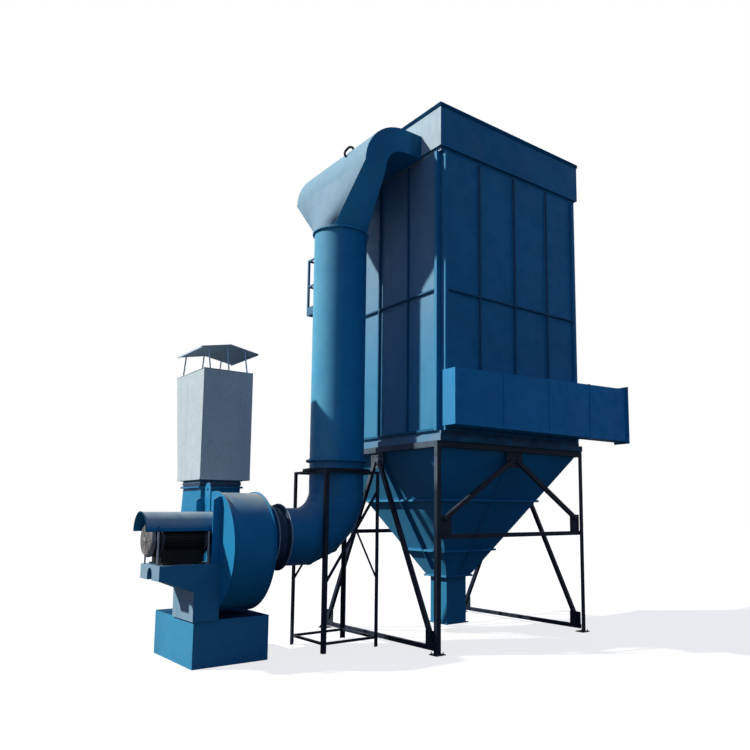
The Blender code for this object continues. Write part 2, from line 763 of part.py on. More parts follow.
# Fan inlet cone between the connector and the scroll's inlet plate
x1 = ELBOW_END_X - CONNECTOR_L
rings = [
    circle_x(x1, RISER_Y, FAN_Z, RISER_R + FLANGE_OUT),
    circle_x(x1 - FLANGE_T, RISER_Y, FAN_Z, RISER_R + FLANGE_OUT),
    circle_x(x1 - FLANGE_T, RISER_Y, FAN_Z, RISER_R),
    circle_x(SCROLL_X1 + GAP + FLANGE_T, RISER_Y, FAN_Z, INLET_CONE_D / 2),
    circle_x(SCROLL_X1 + GAP + FLANGE_T, RISER_Y, FAN_Z, INLET_CONE_D / 2 + 0.04),
    circle_x(SCROLL_X1 + GAP, RISER_Y, FAN_Z, INLET_CONE_D / 2 + 0.04),
]
loft("fan_inlet_cone", rings, blue("fan_inlet_cone"), smooth=30)


# Fan scroll: a logarithmic spiral from the cut-off round to a straight outlet neck
def scroll_outline(grow):
    points = [(OUTLET_Y0 - grow, NECK_Z)]
    start = -math.asin((CUTOFF_Y - grow) / (SCROLL_R0 + grow))
    steps = 44
    for i in range(steps + 1):
        phi = start + (1.5 * math.pi - start) * i / steps
        r = SCROLL_R0 * math.exp(SCROLL_K * max(phi, 0.0)) + grow
        points.append((RISER_Y - r * math.sin(phi), FAN_Z + r * math.cos(phi)))
    points.append((OUTLET_Y1 + grow, NECK_Z))
    return points


rings = []
for x, grow in (
    (SCROLL_X0, SCROLL_LIP),
    (SCROLL_X0 + SCROLL_PLATE_T, SCROLL_LIP),
    (SCROLL_X0 + SCROLL_PLATE_T, 0.0),
    (SCROLL_X1 - SCROLL_PLATE_T, 0.0),
    (SCROLL_X1 - SCROLL_PLATE_T, SCROLL_LIP),
    (SCROLL_X1, SCROLL_LIP),
):
    rings.append([(x, y, z) for y, z in scroll_outline(grow)])
loft("fan_scroll", rings, blue("fan_scroll"), smooth=25)

# Neck flange, rubber sleeve and stack above the scroll outlet
nx0 = SCROLL_X0 - NECK_FLANGE
nx1 = SCROLL_X1 + NECK_FLANGE
ny0 = OUTLET_Y0 - NECK_FLANGE
ny1 = OUTLET_Y1 + NECK_FLANGE
block("neck_flange", nx0, nx1, ny0, ny1, NECK_Z + GAP, NECK_Z + NECK_FLANGE_T, blue("neck_flange"))
z0 = NECK_Z + NECK_FLANGE_T + GAP
z1 = STACK_Z
rings = []
for z, grow in (
    (z0, 0.03),
    (z0 + 0.008, 0.03),
    (z0 + 0.008, 0.004),
    ((z0 + z1) / 2, 0.016),
    (z1 - 0.008, 0.004),
    (z1 - 0.008, 0.03),
    (z1, 0.03),
):
    ring = rect(SCROLL_X0 - grow, SCROLL_X1 + grow, OUTLET_Y0 - grow, OUTLET_Y1 + grow, z)
    rings.append(ring)
loft("outlet_sleeve", rings, rubber("outlet_sleeve"))

STACK_XC = SCROLL_XC + STACK_SHIFT
sx0 = STACK_XC - STACK_X / 2
sx1 = STACK_XC + STACK_X / 2
sy0 = OUTLET_Y0 - STACK_FRONT
t = STACK_T
rings = [
    rect(sx0, sx1, sy0, sy0 + STACK_Y, STACK_Z + GAP),
    rect(sx0, sx1, sy0, sy0 + STACK_Y_TOP, STACK_TOP),
    rect(sx0 + t, sx1 - t, sy0 + t, sy0 + STACK_Y_TOP - t, STACK_TOP),
    rect(sx0 + t, sx1 - t, sy0 + t, sy0 + STACK_Y - t, STACK_Z + GAP),
]
loft("exhaust_stack", rings, galvanised("exhaust_stack"), closed=True)

# Rain cap: a folded gable sheet with turned-down eaves, on flat stays inside the stack's mouth
cap_cx = STACK_XC + CAP_SHIFT
cap_cy = sy0 + STACK_Y_TOP / 2
cap_x0 = cap_cx - CAP_X / 2
cap_x1 = cap_cx + CAP_X / 2
cap_eave = CAP_Z + CAP_HEM


def cap_under(x):
    """Height of the sheet's underside, which climbs from both eaves to the ridge."""
    return cap_eave - CAP_T + CAP_RISE * (1 - abs(x - cap_cx) / (CAP_X / 2))


gable = [
    (cap_x0, CAP_Z),
    (cap_x0, cap_eave),
    (cap_cx, cap_eave + CAP_RISE),
    (cap_x1, cap_eave),
    (cap_x1, CAP_Z),
    (cap_x1 - CAP_T, CAP_Z),
    (cap_x1 - CAP_T, cap_under(cap_x1 - CAP_T)),
    (cap_cx, cap_under(cap_cx)),
    (cap_x0 + CAP_T, cap_under(cap_x0 + CAP_T)),
    (cap_x0 + CAP_T, CAP_Z),
]
cap = extrude_y("rain_cap", gable, cap_cy - CAP_Y / 2, cap_cy + CAP_Y / 2, galvanised("rain_cap"))
stays = []
low_z = STACK_TOP - 0.10
lean = (STACK_Y_TOP - STACK_Y) / STACK_H
for fx in (0.12, 0.5, 0.88):
    px = sx0 + STACK_X * fx
    high_z = cap_under(px) + CAP_T / 2
    front = sy0 + STACK_T + GAP + STAY_T / 2
    head = (px, max(front, cap_cy - CAP_Y / 2 + 0.05), high_z)
    stays.append(bar("cap_stay", (px, front, low_z), (px, front, STACK_TOP), (0, 1, 0), STAY_W, STAY_T))
    stays.append(bar("cap_stay", (px, front, STACK_TOP - 0.004), head, (0, 1, 0), STAY_W, STAY_T))
    back = sy0 + STACK_Y_TOP - STACK_T - GAP - STAY_T / 2 - 0.001
    foot = (px, back - lean * 0.10, low_z)
    head = (px, min(back, cap_cy + CAP_Y / 2 - 0.05), high_z)
    mid = (px, back, STACK_TOP)
    stays.append(bar("cap_stay", foot, mid, (0, 1, 0), STAY_W, STAY_T))
    stays.append(bar("cap_stay", (px, back, STACK_TOP - 0.004), head, (0, 1, 0), STAY_W, STAY_T))
fuse(cap, stays)

# Fan plinth, pedestal and motor
px0 = SCROLL_XC - PLINTH_SHIFT - PLINTH_X / 2
py0 = RISER_Y - 0.30
block("fan_plinth", px0, px0 + PLINTH_X, py0, py0 + PLINTH_Y, 0.0, PLINTH_H, blue("fan_plinth"))
bx1 = SCROLL_X0 - GAP
bx0 = MOTOR_X0 + 0.01
bed_low = BED_Z - BED_DROP
bed = [
    (bx0, BED_Z),
    (bx0, bed_low),
    (bx0 + BED_FLAT, bed_low),
    (bx1 - PEDESTAL_X, bed_low - BED_SLOPE),
    (bx1 - PEDESTAL_X, PLINTH_H + GAP),
    (bx1, PLINTH_H + GAP),
    (bx1, BED_Z),
]
pedestal = extrude_y("motor_pedestal", bed, RISER_Y - BED_W / 2, RISER_Y + BED_W / 2, blue("motor_pedestal"))
arch = [(RISER_Y - BED_ARCH_W / 2, bed_low - 0.05), (RISER_Y + BED_ARCH_W / 2, bed_low - 0.05)]
for i in range(9):
    a = math.pi * i / 8
    z = bed_low + BED_ARCH_H - BED_ARCH_W / 2 + BED_ARCH_W / 2 * math.sin(a)
    arch.append((RISER_Y + BED_ARCH_W / 2 * math.cos(a), z))
cut(pedestal, [extrude_x("bed_arch", arch, bx0 - 0.02, bx0 + 0.12)])

# Lifting lug on the scroll's drive side, between the neck and the cover
lug_y = RISER_Y + 0.12
lug_z = FAN_Z + LUG_UP - LUG_W / 2
lug = [(lug_y - LUG_W / 2, lug_z - LUG_DOWN), (lug_y + LUG_W / 2, lug_z - LUG_DOWN)]
for i in range(13):
    a = math.pi * i / 12
    lug.append((lug_y + LUG_W / 2 * math.cos(a), lug_z + LUG_W / 2 * math.sin(a)))
lug_x = SCROLL_X0 - GAP
lifting_lug = extrude_x("lifting_lug", lug, lug_x - 0.012, lug_x, blue("lifting_lug"))
hole = [circle_x(x, lug_y, lug_z, LUG_HOLE / 2, 16) for x in (lug_x - 0.03, lug_x + 0.02)]
cut(lifting_lug, [loft("lug_hole", hole)])

rings = [
    circle_x(MOTOR_X0 + GAP, RISER_Y, FAN_Z, MOTOR_R - 0.02, 40),
    circle_x(MOTOR_X0 + 0.02, RISER_Y, FAN_Z, MOTOR_R, 40),
    circle_x(MOTOR_X1 - 0.02, RISER_Y, FAN_Z, MOTOR_R, 40),
    circle_x(MOTOR_X1, RISER_Y, FAN_Z, MOTOR_R - 0.03, 40),
    circle_x(MOTOR_X1, RISER_Y, FAN_Z, SHAFT_R, 40),
    circle_x(bx1, RISER_Y, FAN_Z, SHAFT_R, 40),
]
motor = loft("motor", rings, black("motor"), smooth=30)
fx0 = MOTOR_X0 + 0.08
fx1 = MOTOR_X1 - 0.08
feet = block("motor_feet", fx0, fx1, RISER_Y - 0.16, RISER_Y + 0.16, BED_Z + GAP, FAN_Z - 0.10)
fuse(motor, [feet])
rings = []
for t, inset in ((0.0, 0.022), (0.24, 0.006), (0.5, 0.0), (1.0, 0.0)):
    rings.append(circle_x(COWL_X0 + COWL_L * t, RISER_Y, FAN_Z, COWL_R - inset, 40))
loft("motor_cowl", rings, galvanised("motor_cowl"), smooth=30)

# Half-round weather cover from the casing out over the motor, on four flat stays
arc = []
count = 20
for i in range(count + 1):
    a = math.pi * i / count
    arc.append((RISER_Y + COVER_R * math.cos(a), COVER_Z + COVER_R * math.sin(a)))
for i in range(count + 1):
    a = math.pi * (1 - i / count)
    arc.append((RISER_Y + (COVER_R - COVER_T) * math.cos(a), COVER_Z + (COVER_R - COVER_T) * math.sin(a)))
cover = extrude_x("motor_cover", arc, COVER_X0, SCROLL_X0 - GAP, blue("motor_cover"), smooth=30)
stays = []
for x in (MOTOR_X0 + 0.02, MOTOR_X1 - 0.03):
    for side in (-1, 1):
        y = RISER_Y + side * (COVER_R - COVER_T / 2)
        foot = (x, y, BED_Z + GAP)
        stays.append(bar("cover_stay", foot, (x, y, COVER_Z + 0.05), (0, 1, 0), 0.02, COVER_T * 0.6))
fuse(cover, stays)

# Upright plates on the scroll's drive side, above the pedestal
for tower_name, y in (("tower_plate_front", RISER_Y - 0.30), ("tower_plate_back", RISER_Y + 0.24)):
    tower = [
        (bx1, BED_Z + GAP),
        (bx1 - TOWER_OUT, BED_Z + GAP),
        (bx1 - TOWER_OUT, FAN_Z + 0.46),
        (bx1 - TOWER_OUT * 0.4, FAN_Z + 0.50),
        (bx1, FAN_Z + 0.50),
    ]
    extrude_y(tower_name, tower, y, y + TOWER_W, blue(tower_name))

# Duct stand: four angle posts, top and bottom rails and knee braces round the elbow
gx = RISER_R + STAND_CLEAR
gy = RISER_R + STAND_CLEAR + 0.012
post_x = (RISER_X - gx - STAND_POST / 2, RISER_X + gx + STAND_POST / 2)
post_y = (RISER_Y - gy - STAND_POST / 2, RISER_Y + gy + STAND_POST / 2)
stand = None
tools = []
for x in post_x:
    for y in post_y:
        post = bar("stand_post", (x, y, 0.0), (x, y, STAND_TOP), (1, 0, 0), STAND_POST, STAND_POST)
        if stand is None:
            stand = post
            stand.name = "duct_stand"
            stand.data.materials.append(black("duct_stand"))
        else:
            tools.append(post)
thin = STAND_POST * 0.8
top_rail = STAND_TOP - thin / 2
for y in post_y:
    for z, size in ((top_rail, thin), (STAND_RAIL_Z, thin)):
        tools.append(bar("stand_rail", (post_x[0], y, z), (post_x[1], y, z), (0, 1, 0), size, size))
for x in post_x:
    for z, size in ((top_rail, thin), (STAND_RAIL_Z, thin)):
        tools.append(bar("stand_rail", (x, post_y[0], z), (x, post_y[1], z), (1, 0, 0), size, size))
for y in post_y:
    for x, sign in ((post_x[0], 1), (post_x[1], -1)):
        a = (x, y, STAND_TOP - KNEE)
        b = (x + sign * KNEE, y, STAND_TOP - thin * 0.6)
        if KNEE < (post_x[1] - post_x[0]) / 2:
            tools.append(bar("stand_knee", a, b, (0, 1, 0), thin * 0.7, thin * 0.6))
fuse(stand, tools)

# Service platform at the back wall: deck, brackets and guard rail
deck_y0 = HOUSING_Y + RIB_OUT + GAP
deck_y1 = deck_y0 + PLATFORM_W
deck_low = PLATFORM_Z - PLATFORM_T
block("platform_deck", 0.0, HOUSING_X, deck_y0, deck_y1, deck_low, PLATFORM_Z, black("platform_deck"))
for k, x in enumerate((HOUSING_X * 0.25, HOUSING_X * 0.75)):
    name = "platform_bracket_" + ("left", "right")[k]
    z = PLATFORM_Z - PLATFORM_T - GAP
    profile = [(deck_y0, z), (deck_y1 - 0.10, z), (deck_y1 - 0.10, z - 0.05)]
    profile += [(deck_y0 + 0.03, z - BRACKET_H), (deck_y0, z - BRACKET_H)]
    extrude_x(name, profile, x - 0.025, x + 0.025, black(name))
g = GUARD_TUBE
run_y = deck_y1 - g / 2
run_x = (g / 2, HOUSING_X - g / 2)
base_z = PLATFORM_Z + GAP
top_z = base_z + GUARD_H
guard = bar("guard_rail", (run_x[0], run_y, base_z), (run_x[0], run_y, top_z), (1, 0, 0), g, g)
guard.data.materials.append(black("guard_rail"))
tools = []
posts = ((run_x[1], run_y), (HOUSING_X / 2, run_y), (run_x[0], deck_y0 + g), (run_x[1], deck_y0 + g))
for x, y in posts:
    tools.append(bar("guard_post", (x, y, base_z), (x, y, top_z), (1, 0, 0), g, g))
for z in (base_z + g * 0.45, base_z + GUARD_H * 0.5, base_z + GUARD_H - g * 0.45):
    thin = g * 0.8
    tools.append(bar("guard_run", (run_x[0], run_y, z), (run_x[1], run_y, z), (0, 1, 0), thin, thin))
    for x in run_x:
        tools.append(bar("guard_run", (x, deck_y0 + g, z), (x, run_y, z), (1, 0, 0), thin, thin))
fuse(guard, tools)
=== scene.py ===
import math

import bmesh
import bpy
from mathutils import Matrix, Vector


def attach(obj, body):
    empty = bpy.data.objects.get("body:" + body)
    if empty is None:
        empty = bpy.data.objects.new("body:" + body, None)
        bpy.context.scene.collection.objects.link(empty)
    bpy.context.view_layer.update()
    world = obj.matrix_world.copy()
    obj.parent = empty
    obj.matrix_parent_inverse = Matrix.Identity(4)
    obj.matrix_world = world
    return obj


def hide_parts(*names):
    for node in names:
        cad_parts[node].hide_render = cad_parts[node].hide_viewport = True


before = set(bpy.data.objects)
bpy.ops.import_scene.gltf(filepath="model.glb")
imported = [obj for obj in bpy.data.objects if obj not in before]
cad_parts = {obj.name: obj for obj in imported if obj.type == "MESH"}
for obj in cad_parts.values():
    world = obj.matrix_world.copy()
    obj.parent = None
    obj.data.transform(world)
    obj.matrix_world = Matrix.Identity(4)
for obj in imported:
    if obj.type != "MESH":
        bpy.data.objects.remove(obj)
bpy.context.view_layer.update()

# Sizes of the CAD model in metres, in plan axes: x along the manifold, y away from it, z up.
# Clearance between neighbours, and the round flanges
GAP = 0.0003
FLANGE_T = 0.012
FLANGE_OUT = 0.05
TOP_FLANGE_OUT = 0.028

# Housing and frame
HOUSING_X = 2.75
HOUSING_Y = 2.80
LEG_H = 2.61
LEG_W = 0.065
BASE_PLATE_T = 0.012
RING_BEAM_H = 0.08
RING_BEAM_W = 0.07
BEAM_OUT_X = 0.06
BRACE_IN = 0.033
GUSSET_T = 0.01
STRUT_Z = 1.46
SKIRT_H = 0.082
JOINT_H = 0.052
WALL_H = 3.825
RIB_W = 0.022
RIB_OUT = 0.035
PLENUM_OUT = 0.037

# Hopper and spout
PYRAMID_H = 1.79
OUTLET_W = 0.46
OUTLET_SHIFT = 0.07
HOPPER_CLEAR = 0.01
SPOUT_W = 0.38
SPOUT_Z = 0.12
SPOUT_FLANGE_T = 0.012

# Manifold
MANIFOLD_D = 0.283
MANIFOLD_UP = 0.056
MANIFOLD_H = 0.73
MANIFOLD_RISE = 0.105
MANIFOLD_END = 3.59
INLET_FLANGE = 0.035
INLET_FLANGE_T = 0.012

# Flat elbow, transition, riser, lower elbow and their stand
TOP_ELBOW_W = 1.86
TOP_ELBOW_SHIFT = -0.08
TOP_ELBOW_UP = 0.011
TOP_ELBOW_T = 0.33
TOP_ELBOW_IN = 0.31
TOP_ELBOW_STRAIGHT = 0.283
TRANSITION_H = 0.67
RISER_R = 0.37
RISER_X = -0.70
RISER_Y = HOUSING_Y / 2
ELBOW_R = 0.62
ELBOW_GORES = 5
ELBOW_STUB = 0.25
ELBOW_TOP_STUB = 0.387
SUPPORT_T = 0.03
STAND_POST = 0.04
STAND_CLEAR = 0.008
STAND_SIDE = 0.012
STAND_UP = 0.865
STAND_RAIL_Z = 0.12

# Fan, stack and rain cap
FAN_Z = 1.45
CONNECTOR_L = 0.16
INLET_CONE_L = 0.19
INLET_CONE_D = 0.86
SCROLL_W = 0.52
SCROLL_R0 = 0.545
SCROLL_R1 = 1.08
SCROLL_PLATE_T = 0.012
CUTOFF_Y = 0.40
NECK_UP = 0.62
NECK_LEAN = 0.10
NECK_FLANGE_T = 0.014
SLEEVE_H = 0.09
SLEEVE_FLANGE_T = 0.008
STACK_X = 0.66
STACK_Y = 0.80
STACK_Y_TOP = 1.00
STACK_FRONT = 0.03
STACK_SHIFT = 0.05
STACK_H = 1.43
CAP_GAP = 0.27
CAP_X = 0.78
CAP_Y = 0.89
CAP_SHIFT = 0.035

# Motor
MOTOR_R = 0.19
MOTOR_L = 0.63
MOTOR_GAP = 0.08
COWL_R = 0.195
COWL_L = 0.05
BED_DOWN = 0.28
COVER_R = 0.22
COVER_UP = 0.10
COVER_OVER = 0.075

# Platform
PLATFORM_UP = 2.331
PLATFORM_W = 0.80

# Levels and places that follow from them
BEAM_TOP = LEG_H + RING_BEAM_H
WALL_Z = BEAM_TOP + SKIRT_H + JOINT_H
PLENUM_Z = WALL_Z + WALL_H
OUTLET_X = HOUSING_X / 2 - OUTLET_SHIFT
OUTLET_Z = LEG_H - PYRAMID_H
MANIFOLD_Z = WALL_Z + MANIFOLD_UP
TOP_ELBOW_X = -PLENUM_OUT - GAP - TOP_ELBOW_STRAIGHT
TOP_ELBOW_Z = PLENUM_Z + TOP_ELBOW_UP - TOP_ELBOW_IN
TOP_ELBOW_R = TOP_ELBOW_IN + TOP_ELBOW_T
RISER_TOP = TOP_ELBOW_Z - TRANSITION_H
RISER_BOTTOM = FAN_Z + ELBOW_R + ELBOW_TOP_STUB
ELBOW_END_X = RISER_X - ELBOW_R - ELBOW_STUB
CONE_X = ELBOW_END_X - CONNECTOR_L
SCROLL_X1 = CONE_X - INLET_CONE_L
SCROLL_X0 = SCROLL_X1 - SCROLL_W
NECK_Z = FAN_Z + NECK_UP
NECK_Y0 = RISER_Y + CUTOFF_Y
NECK_Y1 = RISER_Y + SCROLL_R1 - NECK_LEAN
STACK_Z = NECK_Z + NECK_FLANGE_T + SLEEVE_H
STACK_TOP = STACK_Z + STACK_H
STACK_XC = (SCROLL_X0 + SCROLL_X1) / 2 + STACK_SHIFT
STACK_Y0 = NECK_Y0 - STACK_FRONT
CAP_Z = STACK_TOP + CAP_GAP
MOTOR_X1 = SCROLL_X0 - MOTOR_GAP
MOTOR_X0 = MOTOR_X1 - MOTOR_L
COWL_X0 = MOTOR_X0 - COWL_L
COVER_X0 = COWL_X0 - COVER_OVER
COVER_Z = FAN_Z + COVER_UP
BED_Z = FAN_Z - BED_DOWN
FEET_X = (MOTOR_X0 + 0.12, MOTOR_X1 - 0.12)
FOOT_TOP = BED_Z + 0.02
STAND_TOP = FAN_Z + STAND_UP
PLATFORM_Z = WALL_Z + PLATFORM_UP
X_MAX = MANIFOLD_END + INLET_FLANGE_T
Y_MIN = -MANIFOLD_D - INLET_FLANGE
Y_MAX = HOUSING_Y + RIB_OUT + GAP + PLATFORM_W

# From plan axes to the frame's
SHIFT = Vector((-(COVER_X0 + X_MAX) / 2, -(Y_MIN + Y_MAX) / 2, 0.0))

# Directions
UP = (0, 0, 1)
DOWN = (0, 0, -1)
RIGHT = (1, 0, 0)
LEFT = (-1, 0, 0)
FRONT = (0, -1, 0)
BACK = (0, 1, 0)
SIDES = (-1, 1)


# Materials
class Graph:
    """One procedural material: a Principled shader and the nodes that feed it."""

    def __init__(self, name, roughness, metallic=0.0, specular=0.5):
        self.mat = bpy.data.materials.new(name)
        self.mat.use_nodes = True
        self.tree = self.mat.node_tree
        self.shader = self.tree.nodes["Principled BSDF"]
        values = {"Roughness": roughness, "Metallic": metallic, "Specular IOR Level": specular}
        for key, value in values.items():
            self.shader.inputs[key].default_value = value
        self.coords = self.new("TexCoord").outputs["Object"]
        self.normal = self.new("NewGeometry").outputs["Normal"]

    def new(self, kind, inputs=None, **props):
        """Add a node, with its inputs and properties."""
        node = self.tree.nodes.new("ShaderNode" + kind)
        for key, value in props.items():
            setattr(node, key, value)
        for key, value in (inputs or {}).items():
            self.put(node.inputs[key], value)
        return node

    def put(self, socket, value):
        """Link a socket, or set its value."""
        if isinstance(value, bpy.types.NodeSocket):
            self.tree.links.new(value, socket)
        elif isinstance(value, tuple) and len(value) == 3 and socket.type == "RGBA":
            socket.default_value = (*value, 1.0)
        else:
            socket.default_value = value

    def noise(self, scale, detail=3.0, rough=0.55, stretch=None):
        vector = self.coords
        if stretch:
            vector = self.new("Mapping", {"Vector": vector, "Scale": stretch}).outputs["Vector"]
        values = {"Vector": vector, "Scale": scale, "Detail": detail, "Roughness": rough}
        return self.new("TexNoise", values).outputs["Fac"]

    def step(self, value, low, high, out_low=0.0, out_high=1.0):
        """Smooth rise from out_low to out_high while the value goes from low to high."""
        values = {"Value": value, "From Min": low, "From Max": high, "To Min": out_low, "To Max": out_high}
        return self.new("MapRange", values, interpolation_type="SMOOTHSTEP").outputs["Result"]

    def math(self, operation, a, b):
        return self.new("Math", {0: a, 1: b}, operation=operation).outputs[0]

    def times(self, a, b):
        return self.math("MULTIPLY", a, b)

    def mix(self, factor, a, b):
        node = self.new("Mix", data_type="RGBA")
        colour_a, colour_b = [s for s in node.inputs if s.type == "RGBA"]
        self.put(node.inputs["Factor"], factor)
        self.put(colour_a, a)
        self.put(colour_b, b)
        return [s for s in node.outputs if s.type == "RGBA"][0]

    def side(self, axis, low, high):
        """How far a surface faces one way: axis 0, 1 or 2, a negative low and high face backwards."""
        parts = self.new("SeparateXYZ", {0: self.normal})
        return self.step(parts.outputs[axis], low, high)

    def place(self, axis, low, high):
        """Mask that rises from low to high along one axis of the frame."""
        parts = self.new("SeparateXYZ", {0: self.coords})
        return self.step(parts.outputs[axis], low, high)

    def edges(self):
        """Mask of a surface's edges, from how far its bevelled normal turns from the true one."""
        bevel = self.new("Bevel", {"Radius": EDGE_WEAR}, samples=4)
        dot = self.new("VectorMath", {0: bevel.outputs[0], 1: self.normal}, operation="DOT_PRODUCT")
        return self.step(self.math("SUBTRACT", 1.0, dot.outputs["Value"]), 0.02, 0.3)

    def bump(self, layers):
        """Stack of (height, strength, distance) bumps."""
        normal = None
        for height, strength, distance in layers:
            values = {"Height": height, "Strength": strength, "Distance": distance}
            if normal:
                values["Normal"] = normal
            normal = self.new("Bump", values).outputs["Normal"]
        self.put(self.shader.inputs["Normal"], normal)

    def colour(self, value):
        self.put(self.shader.inputs["Base Color"], value)

    def rough(self, value):
        self.put(self.shader.inputs["Roughness"], value)


def tint(colour, k):
    return tuple(min(1.0, c * k) for c in colour)


BLUE = (0.014, 0.190, 0.375)
DUST = (0.19, 0.25, 0.30)
# Pale sun-side colour of the paint: partly sun-faded paint, partly painted light.
CHALK_AND_PAINTED_LIGHT = (0.16, 0.40, 0.52)
PALE = (0.195, 0.335, 0.415)
BARE_STEEL = (0.10, 0.075, 0.06)
EDGE_WEAR = 0.006

# Walls that face the sun, and walls that face the photograph's shaded side
SUNNY_SIDE = (0, -0.5, -0.8)
SHADY_SIDE = (1, -0.5, -0.8)


def coat(g, base):
    """A coat of paint, a little darker and lighter in wide patches."""
    return g.mix(g.step(g.noise(0.9, 3.0, 0.6), 0.3, 0.7), tint(base, 0.88), tint(base, 1.10))


def dents(g):
    """Bump layer of slightly buckled sheet."""
    return (g.noise(1.7, 2.0, 0.4), 0.25, 0.02)


def paint(
    name, base=BLUE, chalk_and_painted_light=CHALK_AND_PAINTED_LIGHT, weather=0.35, dust=0.35, dust_and_painted_shade=DUST, slope=(0.3, 0.9), gloss=0.08,
    marks=None
):
    """Weathered paint: blotches, rain runs, dust on top, a paler sun side that is partly sun fading and
    partly painted light, worn edges.
    """
    g = Graph(name, 0.45, specular=gloss)
    colour = coat(g, base)
    mottle = g.noise(7.0, 5.0, 0.65)
    colour = g.mix(g.step(mottle, 0.45, 0.75, 0.0, 0.30), colour, tint(base, 0.72))
    runs = g.noise(1.0, 4.0, 0.6, (11.0, 11.0, 0.55))
    runs = g.times(g.step(runs, 0.52, 0.74), g.step(g.noise(1.3, 2.0), 0.4, 0.65))
    colour = g.mix(g.times(runs, 0.15), colour, tint(DUST, 0.5))
    # Partly painted light: faces turned to the sun (-x) go over to the pale sun-side colour, partly as sun
    # fading; where that colour is dark, as on the rim, it is painted shade.
    fade_and_painted_light = g.times(g.side(0, -0.25, -0.85), g.step(g.noise(2.6, 5.0, 0.7), 0.2, 0.7, 0.6, 1.0))
    colour = g.mix(g.times(fade_and_painted_light, weather), colour, chalk_and_painted_light)
    # Dust on top faces; where its colour is dark, as on the plinth, it is painted shade.
    top = g.times(g.side(2, *slope), g.step(g.noise(5.0, 4.0), 0.2, 0.65, 0.5, 1.0))
    colour = g.mix(g.times(top, dust), colour, dust_and_painted_shade)
    if marks:
        colour = marks(g, colour)
    chips = g.times(g.edges(), g.step(g.noise(24.0, 4.0, 0.7), 0.5, 0.62))
    g.colour(g.mix(g.times(chips, 0.25), colour, BARE_STEEL))
    grain = g.noise(140.0, 2.0)
    g.rough(g.step(g.math("ADD", mottle, g.times(grain, 0.3)), 0.4, 1.0, 0.37, 0.67))
    g.bump((dents(g), (grain, 0.05, 0.002)))
    return g.mat


def wall_painted_light_and_shade(g, colour):
    """Housing walls: painted light, paler towards the top of the sunny side, and painted shade on the ribs,
    darker than the sheets.
    """
    painted_light_top = (0.34, 0.40, 0.435)
    painted_light_from, painted_light_to = 3.2, 5.8
    skin, rib = 0.004, 0.006
    # Painted light: sunny faces paler towards the top.
    high = g.times(g.place(2, painted_light_from, painted_light_to), g.side(*SUNNY_SIDE))
    high = g.times(high, g.step(g.noise(3.0, 4.0, 0.6), 0.25, 0.6, 0.34, 0.48))
    colour = g.mix(high, colour, painted_light_top)
    # Painted shade: everything standing proud of the wall sheets, the ribs, goes darker.
    painted_shade_ribs = g.place(0, SHIFT.x - skin, SHIFT.x - rib)
    for axis, wall in ((0, SHIFT.x + HOUSING_X), (1, SHIFT.y + HOUSING_Y)):
        painted_shade_ribs = g.math("MAXIMUM", painted_shade_ribs, g.place(axis, wall + skin, wall + rib))
    painted_shade_ribs = g.math("MAXIMUM", painted_shade_ribs, g.place(1, SHIFT.y - skin, SHIFT.y - rib))
    return g.mix(g.times(painted_shade_ribs, 0.75), colour, tint(BLUE, 0.42))


def hopper_band(g, colour):
    """The band under the walls: painted shade on its shaded side, painted light on its sunny side."""
    grime_and_painted_shade, painted_light_tone = (0.012, 0.048, 0.085), (0.165, 0.270, 0.360)
    below = g.place(2, BEAM_TOP - 0.004, BEAM_TOP + 0.002)
    above = g.place(2, WALL_Z + 0.008, WALL_Z - 0.002)
    band = g.times(below, above)
    patchy = g.step(g.noise(4.0, 5.0, 0.7, (1.0, 1.0, 3.0)), 0.3, 0.65, 0.45, 0.95)
    # Painted shade on the shaded side, painted light on the sunny side.
    for side, tone in ((SHADY_SIDE, grime_and_painted_shade), (SUNNY_SIDE, painted_light_tone)):
        colour = g.mix(g.times(band, g.times(g.side(*side), patchy)), colour, tone)
    return colour


def elbow_joint_shade(g, colour):
    """Painted shade on the flat elbow's shaded sides, next to the plenum."""
    joint = SHIFT.x - TOP_ELBOW_STRAIGHT
    near = g.times(g.place(0, joint + 0.013, joint + 0.113), g.side(*SHADY_SIDE))
    return g.mix(g.times(near, 0.6), colour, tint(BLUE, 0.35))


def cover_stays(g, colour):
    """The flat stays under the motor cover are bare grey."""
    return g.mix(g.place(2, COVER_Z - 0.001, COVER_Z - 0.005), colour, (0.62, 0.58, 0.55))


def bleached(name, pale, amount, stain, base=BLUE, reach=(-0.60, -0.72), marks=None):
    """The same paint, bleached and stained where it faces the sun and the rain. A reach wider than the
    default spreads the pale colour as painted light.
    """
    g = Graph(name, 0.5, specular=0.08)
    colour = coat(g, base)
    runs = g.noise(1.0, 4.0, 0.6, (9.0, 9.0, 0.6))
    colour = g.mix(g.step(runs, 0.52, 0.74, 0.0, 0.15), colour, tint(DUST, 0.5))
    stains = g.noise(3.2, 6.0, 0.7)
    sunny = g.mix(g.step(stains, 0.40, 0.75, 0.0, stain), pale, tint(pale, 0.55))
    drips = g.step(g.noise(1.0, 4.0, 0.6, (10.0, 10.0, 1.2)), 0.5, 0.75, 0.0, stain)
    sunny = g.mix(drips, sunny, tint(pale, 0.62))
    facing = g.math("MAXIMUM", g.side(0, *reach), g.side(2, 0.45, 0.9))
    colour = g.mix(g.times(facing, amount), colour, sunny)
    if marks:
        colour = marks(g, colour)
    g.colour(colour)
    g.rough(g.step(stains, 0.3, 0.8, 0.4, 0.7))
    g.bump((dents(g), (g.noise(140.0, 2.0), 0.05, 0.002)))
    return g.mat


